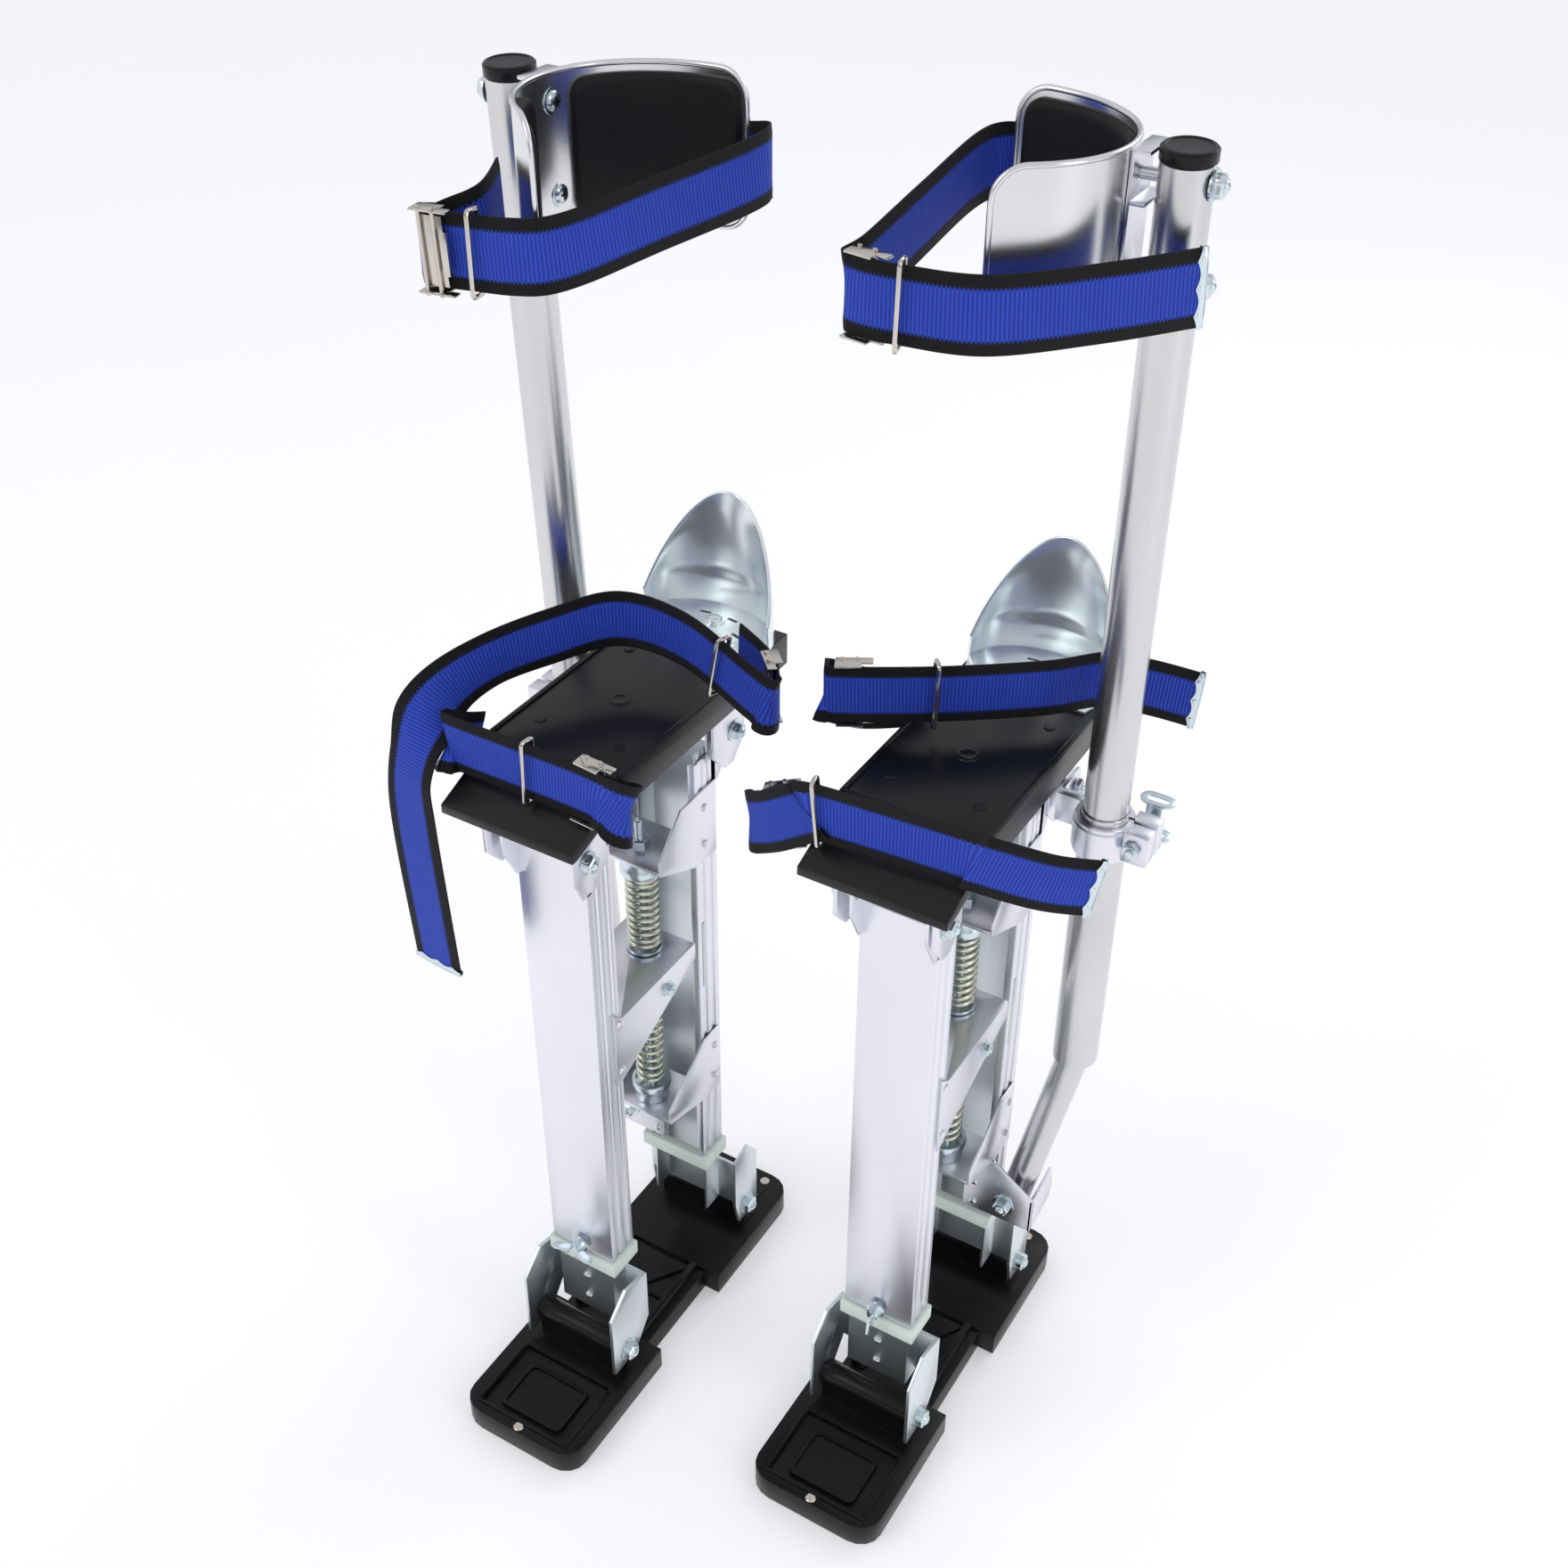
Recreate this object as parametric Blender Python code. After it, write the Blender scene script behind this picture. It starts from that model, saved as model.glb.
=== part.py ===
"""A pair of drywall stilts, one object per sub-part, in metres, +Z up, toes towards -Y."""
import math

import bmesh
import bpy
from mathutils import Matrix, Vector

# ---- fit between neighbouring pieces ----
GAP = 0.0003

# ---- the layout below is drawn for the low frame; the tall frame stretches its stations like this ----
DEPTH_SCALE = 0.88
HEIGHT_SCALE = 1.166

# ---- where the two stilts stand ----
HALF_STANCE = 0.1201
HALF_STAGGER = 0.0345
CENTRE_X = -0.00502
CENTRE_Y = 0.05852

# ---- sole ----
SOLE_HALF_W = 0.0575
SOLE_FRONT = -0.265
SOLE_REAR = 0.132
SOLE_T = 0.0195
WAIST_HALF_W = 0.043
WAIST_FRONT = -0.1165
WAIST_REAR = -0.0125
PAD_CORNER = 0.021

# ---- pivots (y and z of their axes) ----
FRONT_PIVOT_Y = -0.152
REAR_PIVOT_Y = 0.062
SOLE_PIVOT_Z = 0.043
DECK_PIVOT_Z = 0.490
BARREL_R = 0.010
PIN_R = 0.004
PIN_CLEAR = 0.0006

# ---- telescoping struts ----
STRUT_HALF_W = 0.030
STRUT_DEPTH = 0.033
STRUT_WALL = 0.0025
STRUT_BOTTOM = 0.121
STRUT_TOP = 0.500
FRONT_FACE = -0.143
REAR_FACE = 0.046
FOOT_HALF_W = 0.027
FOOT_DEPTH = 0.022
FOOT_BOTTOM = 0.056
FOOT_TOP = 0.485
EAR_X = 0.0425
EAR_T = 0.003
EAR_BOTTOM = 0.030
EAR_TOP = 0.104
COLLAR_BOTTOM = 0.1085
WING_Z = 0.1295

# ---- spring pack ----
ROD_Y = -0.022
ROD_R = 0.004
PLATE_Z = 0.335
PLATE_T = 0.003
CUP_R = 0.0165

# ---- leg tube ----
LEG_TOP = (0.0863, 0.0035, 0.8950)
LEG_SLOPE_X = 0.00827
LEG_SLOPE_Y = -0.0501
LEG_R = 0.016
SLEEVE_R = 0.0173
SLEEVE_BORE = 0.0163
SLEEVE_BOTTOM = 0.293
SLEEVE_TOP = 0.5045
BEND_R = 0.0125
BEND_FOOT = (0.0445, 0.0320, 0.130)
CLAMP_Z = (0.4745, 0.5000)
CLAMP_R = 0.0222
CLAMP_BOLT_X = 0.1092
CLAMP_BOLT_Z = 0.488

# ---- cuff ----
CUFF_CENTRE = (-0.030, -0.010)
CUFF_R = 0.0880
CUFF_T = 0.0022
CUFF_Z = (0.815, 0.900)
CUFF_ANGLES = (-65.0, 100.0)
PAD_T = 0.005
REAR_PAD = (19.0, 97.0)
FRONT_PAD = (-62.0, -9.0)
CUFF_BOLTS_Z = (0.8855, 0.836)

# ---- foot deck ----
DECK_HALF_W = 0.055
DECK_TOP = 0.545
DECK_T = 0.008
DECK_FRONT = -0.132
DECK_REAR = 0.118
LIP_FRONT = -0.193
LIP_DROP = 0.024
SKIRT_BOTTOM = 0.523

STRAP_T = 0.0024
ANKLE_STRAP_H = 0.019
CALF_STRAP_H = 0.020


def clear_scene():
    for item in list(bpy.data.objects):
        bpy.data.objects.remove(item, do_unlink=True)


def material(name, colour, rough, metal):
    mat = bpy.data.materials.new(name)
    mat.use_nodes = True
    shader = mat.node_tree.nodes["Principled BSDF"]
    shader.inputs["Base Color"].default_value = (*colour, 1.0)
    shader.inputs["Roughness"].default_value = rough
    shader.inputs["Metallic"].default_value = metal
    mat.diffuse_color = (*colour, 1.0)
    return mat


def leg_point(z):
    """Point on the leg tube's axis at a height."""
    drop = LEG_TOP[2] - z
    return (LEG_TOP[0] - drop * LEG_SLOPE_X, LEG_TOP[1] - drop * LEG_SLOPE_Y, z)


def tall(point):
    """Station of the layout moved to its place on the tall frame. Bars, bolts and tubes keep their thickness."""
    return point[0], point[1] * DEPTH_SCALE, point[2] * HEIGHT_SCALE


def box(x0, x1, y0, y1, z0, z1):
    verts = [tall((x, y, z)) for x in (x0, x1) for y in (y0, y1) for z in (z0, z1)]
    faces = [(0, 1, 3, 2), (4, 6, 7, 5), (0, 4, 5, 1), (2, 3, 7, 6), (0, 2, 6, 4), (1, 5, 7, 3)]
    return verts, faces


def prism(outline, axis, low, high):
    """Extrude a closed outline along x, y or z. The outline gives the other two coordinates in order."""
    count = len(outline)
    verts = []
    for level in (low, high):
        for a, b in outline:
            spot = {"x": (level, a, b), "y": (a, level, b), "z": (a, b, level)}[axis]
            verts.append(tall(spot))
    faces = [tuple(range(count)), tuple(reversed(range(count, 2 * count)))]
    for i in range(count):
        j = (i + 1) % count
        faces.append((i, i + count, j + count, j))
    return verts, faces


def cylinder(start, end, radius, sides=16, end_radius=None):
    """Round bar between two points."""
    start = Vector(tall(start))
    end = Vector(tall(end))
    axis = (end - start).normalized()
    side = axis.orthogonal().normalized()
    if abs(axis.z) > 0.9:
        side = (Vector((1, 0, 0)) - axis * axis.x).normalized()
    other = axis.cross(side)
    tip = radius if end_radius is None else end_radius
    verts = []
    for centre, size in ((start, radius), (end, tip)):
        for i in range(sides):
            turn = 2 * math.pi * (i + 0.5) / sides
            verts.append(tuple(centre + (side * math.cos(turn) + other * math.sin(turn)) * size))
    faces = [tuple(reversed(range(sides))), tuple(range(sides, 2 * sides))]
    for i in range(sides):
        j = (i + 1) % sides
        faces.append((i, j, j + sides, i + sides))
    return verts, faces


def swept(points, radius, sides=12):
    """Round bar through several points."""
    spots = [Vector(tall(p)) for p in points]
    verts = []
    for k, spot in enumerate(spots):
        before = spots[max(k - 1, 0)]
        after = spots[min(k + 1, len(spots) - 1)]
        axis = (after - before).normalized()
        side = (Vector((0, 1, 0)) - axis * axis.y).normalized()
        other = axis.cross(side)
        for i in range(sides):
            turn = 2 * math.pi * (i + 0.5) / sides
            verts.append(tuple(spot + (side * math.cos(turn) + other * math.sin(turn)) * radius))
    faces = [tuple(reversed(range(sides)))]
    last = (len(spots) - 1) * sides
    faces.append(tuple(range(last, last + sides)))
    for k in range(len(spots) - 1):
        for i in range(sides):
            j = (i + 1) % sides
            low = k * sides
            faces.append((low + i, low + j, low + sides + j, low + sides + i))
    return verts, faces


def coil(centre_y, z0, z1, radius, wire, turns, per_turn=10, sides=4):
    """Open helical spring around a vertical line at x = 0."""
    steps = turns * per_turn
    _, centre_y, z0 = tall((0, centre_y, z0))
    z1 = z1 * HEIGHT_SCALE
    verts = []
    for k in range(steps + 1):
        turn = 2 * math.pi * k / per_turn
        height = z0 + wire + (z1 - z0 - 2 * wire) * k / steps
        for i in range(sides):
            roll = 2 * math.pi * (i + 0.5) / sides
            reach = radius + wire * math.cos(roll)
            verts.append((reach * math.cos(turn), centre_y + reach * math.sin(turn),
                          height + wire * math.sin(roll)))
    faces = [tuple(range(sides)), tuple(reversed(range(steps * sides, (steps + 1) * sides)))]
    for k in range(steps):
        for i in range(sides):
            j = (i + 1) % sides
            low = k * sides
            faces.append((low + i, low + sides + i, low + sides + j, low + j))
    return verts, faces


def ribbon(path, half_height, thickness=STRAP_T):
    """Webbing band along a path of centre points, each with the direction of the band's width."""
    spots = [Vector(tall(p)) for p, _ in path]
    verts = []
    for k, spot in enumerate(spots):
        before = spots[max(k - 1, 0)]
        after = spots[min(k + 1, len(spots) - 1)]
        along = (after - before).normalized()
        width = Vector(path[k][1]).normalized()
        out = along.cross(width).normalized() * thickness / 2
        up = out.cross(along).normalized() * half_height * HEIGHT_SCALE
        for corner in (-out - up, out - up, out + up, -out + up):
            verts.append(tuple(spot + corner))
    faces = [(0, 1, 2, 3)]
    last = 4 * (len(spots) - 1)
    faces.append((last + 3, last + 2, last + 1, last))
    for k in range(len(spots) - 1):
        low = 4 * k
        for i in range(4):
            j = (i + 1) % 4
            faces.append((low + i, low + 4 + i, low + 4 + j, low + j))
    return verts, faces


def arc_wall(radius_out, thickness, angles, z0, z1, steps):
    """Upright curved wall of constant thickness around the cuff's centre."""
    outline = []
    for size in (radius_out, radius_out - thickness):
        ring = []
        for k in range(steps + 1):
            turn = math.radians(angles[0] + (angles[1] - angles[0]) * k / steps)
            ring.append((CUFF_CENTRE[0] + size * math.cos(turn), CUFF_CENTRE[1] + size * math.sin(turn)))
        outline += ring if size == radius_out else list(reversed(ring))
    return prism(outline, "z", z0, z1)


def mesh_object(name, shape, mat, side, spot):
    verts, faces = shape
    placed = [(side * x + spot[0], y + spot[1], z) for x, y, z in verts]
    mesh = bpy.data.meshes.new(name)
    mesh.from_pydata(placed, [], faces)
    if mat:
        mesh.materials.append(mat)
    work = bmesh.new()
    work.from_mesh(mesh)
    bmesh.ops.recalc_face_normals(work, faces=work.faces)
    work.to_mesh(mesh)
    work.free()
    item = bpy.data.objects.new(name, mesh)
    bpy.context.collection.objects.link(item)
    return item


def build(name, mat, add, cut, side, spot):
    """One closed body: the shapes in add joined together, less the shapes in cut."""
    body = mesh_object(name, add[0], mat, side, spot)
    helpers = []
    for mode, shapes in (("UNION", add[1:]), ("DIFFERENCE", cut)):
        for shape in shapes:
            tool = mesh_object(name + "_tool", shape, mat, side, spot)
            helpers.append(tool)
            step = body.modifiers.new("step", "BOOLEAN")
            step.operation = mode
            step.solver = "EXACT"
            step.object = tool
    if helpers:
        graph = bpy.context.evaluated_depsgraph_get()
        mesh = bpy.data.meshes.new_from_object(body.evaluated_get(graph))
        body.modifiers.clear()
        body.data = mesh
        for tool in helpers:
            bpy.data.objects.remove(tool, do_unlink=True)
        work = bmesh.new()
        work.from_mesh(mesh)
        bmesh.ops.remove_doubles(work, verts=work.verts, dist=0.000005)
        bmesh.ops.dissolve_limit(work, angle_limit=0.002, verts=work.verts, edges=work.edges)
        work.to_mesh(mesh)
        work.free()
    return body


def rounded_pad(half_w, y_end, y_start, corner, steps=4):
    """Half outline of a pad, round at its free end, for y_end in front or behind."""
    way = 1 if y_end > y_start else -1
    points = [(half_w, y_start)]
    for k in range(steps + 1):
        turn = math.radians(90.0 * k / steps)
        points.append((half_w - corner + corner * math.cos(turn), y_end - way * corner * (1 - math.sin(turn))))
    mirror = [(-x, y) for x, y in reversed(points)]
    return points + mirror


def sole_shapes():
    front = prism(rounded_pad(SOLE_HALF_W, SOLE_FRONT, WAIST_FRONT, PAD_CORNER), "z", 0.0, SOLE_T)
    rear = prism(rounded_pad(SOLE_HALF_W, SOLE_REAR, WAIST_REAR, PAD_CORNER), "z", 0.0, SOLE_T)
    waist = box(-WAIST_HALF_W, WAIST_HALF_W, WAIST_FRONT - 0.005, WAIST_REAR + 0.005, 0.0, SOLE_T - 0.0022)
    add = [waist, front, rear]
    for way in (-1, 1):
        rib = sorted((way * 0.030, way * 0.036))
        add.append(box(*rib, WAIST_FRONT + 0.004, WAIST_REAR - 0.002, 0.004, SOLE_T + 0.005))
    for y in (FRONT_PIVOT_Y, REAR_PIVOT_Y):
        add.append(box(-0.0405, 0.0405, y - 0.0085, y + 0.0085, 0.004, SOLE_PIVOT_Z))
        add.append(cylinder((-0.0412, y, SOLE_PIVOT_Z), (0.0412, y, SOLE_PIVOT_Z), BARREL_R))
    cut = [box(-0.043, 0.043, SOLE_FRONT + 0.012, FRONT_PIVOT_Y - 0.028, SOLE_T - 0.005, SOLE_T + 0.01)]
    for y in (FRONT_PIVOT_Y, REAR_PIVOT_Y):
        cut.append(cylinder((-0.06, y, SOLE_PIVOT_Z), (0.06, y, SOLE_PIVOT_Z), PIN_R + PIN_CLEAR))
    return add, cut


def channel(face_y, way, half_w, depth, wall, z0, z1, lip=0.0):
    """Upright channel with its web at face_y and open the other way (way points into the channel)."""
    back = face_y + way * depth
    web_in = face_y + way * wall
    outline = [(-half_w, face_y), (half_w, face_y), (half_w, back)]
    if lip:
        outline += [(half_w - wall - lip, back), (half_w - wall - lip, back - way * wall),
                    (half_w - wall, back - way * wall)]
    else:
        outline += [(half_w - wall, back)]
    outline += [(half_w - wall, web_in), (-half_w + wall, web_in)]
    if lip:
        outline += [(-half_w + wall, back - way * wall), (-half_w + wall + lip, back - way * wall),
                    (-half_w + wall + lip, back)]
    else:
        outline += [(-half_w + wall, back)]
    outline.append((-half_w, back))
    return prism(outline, "z", z0, z1)


def foot_shapes(face_y, way, pivot_y):
    """Steel extension with a U bracket; way points from the web into the channel."""
    out = math.copysign(1.0, pivot_y - face_y)
    near = face_y + way * 0.003
    web = sorted((near + way * FOOT_DEPTH - way * 0.0005, near + way * FOOT_DEPTH + way * 0.0025))
    if out != -way:
        web = sorted((near, near + 0.003))
    if way < 0:
        web = sorted((near - 0.0002, near + 0.0028))
    add = [channel(near, way, FOOT_HALF_W, FOOT_DEPTH, 0.002, FOOT_BOTTOM, FOOT_TOP)]
    add.append(box(-EAR_X - EAR_T, EAR_X + EAR_T, web[0], web[1], FOOT_BOTTOM, EAR_TOP - 0.006))
    tip = pivot_y + out * 0.021
    root = web[1] if out < 0 else web[0]
    mid = (tip + root) / 2
    ear = [(root, FOOT_BOTTOM - 0.004), (pivot_y - out * 0.013, EAR_BOTTOM), (tip, EAR_BOTTOM),
           (tip, EAR_TOP - 0.016), (mid + out * 0.004, EAR_TOP), (root, EAR_TOP - 0.006)]
    for side in (-1, 1):
        edges = sorted((side * EAR_X, side * (EAR_X + EAR_T)))
        add.append(prism(ear, "x", *edges))
    add.append(cylinder((-0.0490, pivot_y, SOLE_PIVOT_Z), (0.0490, pivot_y, SOLE_PIVOT_Z), PIN_R))
    for side in (-1, 1):
        add.append(cylinder((side * (EAR_X + EAR_T - 0.0004), pivot_y, SOLE_PIVOT_Z),
                            (side * 0.0515, pivot_y, SOLE_PIVOT_Z), 0.0072, 6))
    return add, []


def collar_shapes(face_y, way):
    back = face_y + way * (STRUT_DEPTH + 0.0025)
    front = face_y - way * 0.003
    outer = box(-0.033, 0.033, *sorted((front, back)), COLLAR_BOTTOM, STRUT_BOTTOM - GAP)
    near = face_y + way * (0.003 - 0.0008)
    far = face_y + way * (0.003 + FOOT_DEPTH + 0.0008)
    if way < 0:
        near = face_y + 0.0006 - 0.003
    hole = box(-FOOT_HALF_W - 0.0006, FOOT_HALF_W + 0.0006, *sorted((near, far)), COLLAR_BOTTOM - 0.01, 0.14)
    return [outer], [hole]


def strut_shapes(face_y, way, pivot_y, holes):
    body = channel(face_y, way, STRUT_HALF_W, STRUT_DEPTH, STRUT_WALL, STRUT_BOTTOM, STRUT_TOP - 0.02, 0.0035)
    out = math.copysign(1.0, pivot_y - face_y)
    tab = [(face_y - out * 0.012, STRUT_TOP - 0.045), (face_y + out * 0.004, STRUT_TOP - 0.045),
           (pivot_y + out * 0.010, STRUT_TOP - 0.022), (pivot_y + out * 0.010, STRUT_TOP),
           (face_y - out * 0.012, STRUT_TOP)]
    add = [body]
    for side in (-1, 1):
        add.append(prism(tab, "x", *sorted((side * (STRUT_HALF_W - STRUT_WALL + 0.0001), side * STRUT_HALF_W))))
    cut = [cylinder((-0.05, pivot_y, DECK_PIVOT_Z), (0.05, pivot_y, DECK_PIVOT_Z), PIN_R + PIN_CLEAR)]
    return add, cut + holes


def wing_bolt_shapes(face_y, way, z, x=0.0, tall=True):
    """Wing bolt lying along Y; way points from the strut out towards the wings."""
    add = [cylinder((x, face_y - way * 0.0022, z), (x, face_y + way * 0.013, z), 0.003, 12)]
    add.append(cylinder((x, face_y + way * GAP * 11, z), (x, face_y + way * 0.011, z), 0.0065, 12))
    wing = sorted((face_y + way * 0.0085, face_y + way * 0.0205))
    if tall:
        add.append(box(x - 0.0016, x + 0.0016, *wing, z - 0.0195, z + 0.0195))
    else:
        add.append(box(x - 0.0195, x + 0.0195, *wing, z - 0.0016, z + 0.0016))
    return add, []


def bracket_side(outline, x_in=0.0303, thickness=0.002):
    """The same plate on both sides of a strut."""
    shapes = []
    for side in (-1, 1):
        shapes.append(prism(outline, "x", *sorted((side * x_in, side * (x_in + thickness)))))
    return shapes


def centre_plate_shapes():
    x_out = 0.0323
    web = box(-x_out, x_out, -0.1095, 0.004, PLATE_Z, PLATE_Z + PLATE_T)
    side = [(-0.121, 0.282), (-0.121, 0.345), (-0.109, PLATE_Z + PLATE_T), (0.004, PLATE_Z + PLATE_T),
            (0.004, PLATE_Z - 0.010)]
    add = [web] + bracket_side(side)
    slot = prism([(-0.0072, ROD_Y - 0.0106), (0.0072, ROD_Y - 0.0106), (0.0072, ROD_Y + 0.0106),
                  (-0.0072, ROD_Y + 0.0106)], "z", PLATE_Z - 0.01, PLATE_Z + 0.01)
    return add, [slot]


def spring_carrier_shapes():
    x_out = 0.0323
    upper_web = box(-x_out, x_out, -0.045, 0.0127, 0.4205, 0.4235)
    lower_web = box(-x_out, x_out, -0.045, 0.0127, 0.1955, 0.1985)
    upper = [(-0.045, 0.4205), (-0.045, 0.432), (-0.012, 0.458), (0.042, 0.458), (0.042, 0.400), (0.012, 0.400)]
    lower = [(-0.045, 0.1955), (-0.045, 0.208), (0.014, 0.240), (0.042, 0.240), (0.042, 0.183), (0.012, 0.183)]
    add = [upper_web, lower_web] + bracket_side(upper) + bracket_side(lower)
    add.append(cylinder((0, ROD_Y, 0.180), (0, ROD_Y, 0.445), ROD_R, 12))
    add.append(cylinder((0, ROD_Y, 0.4032), (0, ROD_Y, 0.4208), CUP_R, 16))
    add.append(cylinder((0, ROD_Y, 0.1982), (0, ROD_Y, 0.2155), CUP_R, 16))
    add.append(cylinder((0, ROD_Y, 0.4232), (0, ROD_Y, 0.4315), 0.0085, 6))
    add.append(cylinder((0, ROD_Y, 0.1865), (0, ROD_Y, 0.1958), 0.0085, 6))
    return add, []


def spring_seat_shapes():
    core = cylinder((0, ROD_Y, PLATE_Z - 0.0025), (0, ROD_Y, PLATE_Z + PLATE_T + 0.0025), 0.0066, 14)
    add = [core]
    for low, high in ((PLATE_Z - 0.0028, PLATE_Z - 0.0006), (PLATE_Z + PLATE_T + 0.0006, PLATE_Z + PLATE_T + 0.0028)):
        add.append(cylinder((0, ROD_Y, low), (0, ROD_Y, high), 0.0145, 16))
    bore = cylinder((0, ROD_Y, PLATE_Z - 0.02), (0, ROD_Y, PLATE_Z + 0.02), ROD_R + PIN_CLEAR, 14)
    return add, [bore]


def leg_bracket_shapes():
    face = 0.0095
    outline = [(0.008, 0.127), (0.0700, 0.127), (0.0700, 0.158), (0.0560, 0.166), (0.0330, 0.181), (0.008, 0.181)]
    add = [prism(outline, "y", face, face + 0.0030)]
    side = [(face, 0.127), (0.052, 0.134), (0.056, 0.146), (0.052, 0.164), (face, 0.158)]
    add.append(prism(side, "x", 0.0670, 0.0700))
    foot = BEND_FOOT
    add.append(cylinder((foot[0], face - 0.001, 0.143), (foot[0], 0.0525, 0.143), PIN_R, 12))
    add.append(cylinder((foot[0], face - 0.006, 0.143), (foot[0], face + 0.0004, 0.143), 0.0078, 6))
    add.append(cylinder((foot[0], 0.0470, 0.143), (foot[0], 0.0512, 0.143), 0.0078, 6))
    for z in (0.134, 0.154, 0.174):
        add.append(cylinder((0.0165, face - 0.0018, z), (0.0165, face + 0.001, z), 0.0038, 10))
    return add, []


def lower_leg_shapes():
    bottom = BEND_FOOT
    elbow = leg_point(0.300)
    top = leg_point(0.315)
    knee = (bottom[0] + (elbow[0] - bottom[0]) * 0.93, elbow[1] - 0.001, 0.284)
    bend = swept([bottom, knee, elbow, top], BEND_R)
    sleeve = cylinder(leg_point(SLEEVE_BOTTOM), leg_point(SLEEVE_TOP), SLEEVE_R, 20)
    bore = cylinder(leg_point(0.320), leg_point(0.60), SLEEVE_BORE, 20)
    pin = cylinder((bottom[0], -0.02, 0.143), (bottom[0], 0.08, 0.143), PIN_R + GAP, 12)
    return [bend, sleeve], [bore, pin]


def clamp_shapes():
    low = leg_point(CLAMP_Z[0])
    high = leg_point(CLAMP_Z[1])
    ring = cylinder(low, high, CLAMP_R, 20)
    centre = leg_point((CLAMP_Z[0] + CLAMP_Z[1]) / 2)
    lug = box(centre[0] + 0.004, centre[0] + 0.0375, centre[1] - 0.0135, centre[1] + 0.0205, 0.4770, 0.4985)
    tab = box(0.0425, 0.0462, 0.030, REAR_PIVOT_Y + 0.010, 0.4780, 0.4995)
    arm = box(0.0428, centre[0] - 0.005, 0.0305, 0.0405, 0.4785, 0.4990)
    bore = cylinder(leg_point(0.45), leg_point(0.53), SLEEVE_R + GAP, 20)
    slit = box(centre[0] + 0.002, centre[0] + 0.05, centre[1] + 0.002, centre[1] + 0.005, 0.46, 0.51)
    bolt = cylinder((CLAMP_BOLT_X, -0.03, CLAMP_BOLT_Z), (CLAMP_BOLT_X, 0.12, CLAMP_BOLT_Z), 0.0036, 12)
    pivot = cylinder((0.03, REAR_PIVOT_Y, DECK_PIVOT_Z), (0.06, REAR_PIVOT_Y, DECK_PIVOT_Z), PIN_R + PIN_CLEAR)
    return [ring, lug, tab, arm], [bore, slit, bolt, pivot]


def clamp_wing_shapes():
    x, z = CLAMP_BOLT_X, CLAMP_BOLT_Z
    y = leg_point(z)[1]
    front = y - 0.0135 - GAP
    back = y + 0.0205 + GAP
    add = [cylinder((x, front - 0.009, z), (x, back + 0.0148, z), 0.0031, 10)]
    add.append(cylinder((x, front - 0.0062, z), (x, front, z), 0.0070, 6))
    add.append(cylinder((x, back, z), (x, back + 0.0115, z), 0.0067, 16))
    add.append(box(x - 0.0020, x + 0.0020, back + 0.0088, back + 0.0212, z - 0.0186, z + 0.0186))
    return add, []


def upper_leg_shapes():
    tube = cylinder(leg_point(0.335), leg_point(LEG_TOP[2]), LEG_R, 20)
    bore = cylinder(leg_point(0.30), leg_point(0.93), LEG_R - 0.0018, 20)
    cuts = [bore]
    for z in CUFF_BOLTS_Z:
        spot = leg_point(z)
        cuts.append(cylinder((0.04, spot[1], z), (0.13, spot[1], z), PIN_R + GAP, 12))
    return [tube], cuts


def cap_shapes():
    base = Vector(leg_point(LEG_TOP[2]))
    axis = (Vector(leg_point(0.9)) - Vector(leg_point(0.8))).normalized()
    disc = cylinder(base + axis * GAP, base + axis * 0.0085, LEG_R + 0.0006, 20)
    plug = cylinder(base - axis * 0.004, base + axis * 0.002, LEG_R - 0.0018 - GAP, 20)
    return [disc, plug], []


def cuff_bracket_shapes():
    x_in = CUFF_CENTRE[0] + CUFF_R + GAP
    y = leg_point(0.886)[1]
    web = box(x_in, x_in + 0.0022, y - 0.017, y + 0.017, 0.829, 0.8995)
    add = [web]
    for z0 in (0.8730, 0.8975):
        add.append(box(x_in, leg_point(z0)[0] - LEG_R - 0.0008, y - 0.017, y + 0.017, z0, z0 + 0.002))
    for z in CUFF_BOLTS_Z:
        spot = leg_point(z)
        add.append(cylinder((x_in + 0.0004, spot[1], z), (spot[0] + 0.0234, spot[1], z), PIN_R, 12))
        add.append(cylinder((spot[0] + 0.0172, spot[1], z), (spot[0] + 0.0222, spot[1], z), 0.0074, 6))
    return add, []


def cuff_shapes():
    wall = arc_wall(CUFF_R, CUFF_T, CUFF_ANGLES, *CUFF_Z, 18)
    return [wall], []


def pad_shapes(angles, steps):
    return [arc_wall(CUFF_R - CUFF_T - GAP, PAD_T, angles, CUFF_Z[0] + 0.005, CUFF_Z[1] - 0.005, steps)], []


def deck_shapes():
    slab = box(-DECK_HALF_W, DECK_HALF_W, DECK_FRONT, DECK_REAR, DECK_TOP - DECK_T, DECK_TOP)
    add = [slab]
    for side in (-1, 1):
        edges = sorted((side * (DECK_HALF_W - 0.004), side * DECK_HALF_W))
        add.append(box(*edges, DECK_FRONT - 0.01, DECK_REAR, SKIRT_BOTTOM, DECK_TOP - 0.002))
    ramp = [(DECK_FRONT + 0.003, DECK_TOP - 0.0005), (DECK_FRONT - 0.006, DECK_TOP - 0.0075),
            (LIP_FRONT, DECK_TOP - LIP_DROP), (LIP_FRONT, DECK_TOP - LIP_DROP - 0.006),
            (LIP_FRONT + 0.006, DECK_TOP - LIP_DROP - 0.006), (DECK_FRONT + 0.003, DECK_TOP - 0.0165)]
    add.append(prism(ramp, "x", -DECK_HALF_W, DECK_HALF_W))
    return add, []


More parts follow.
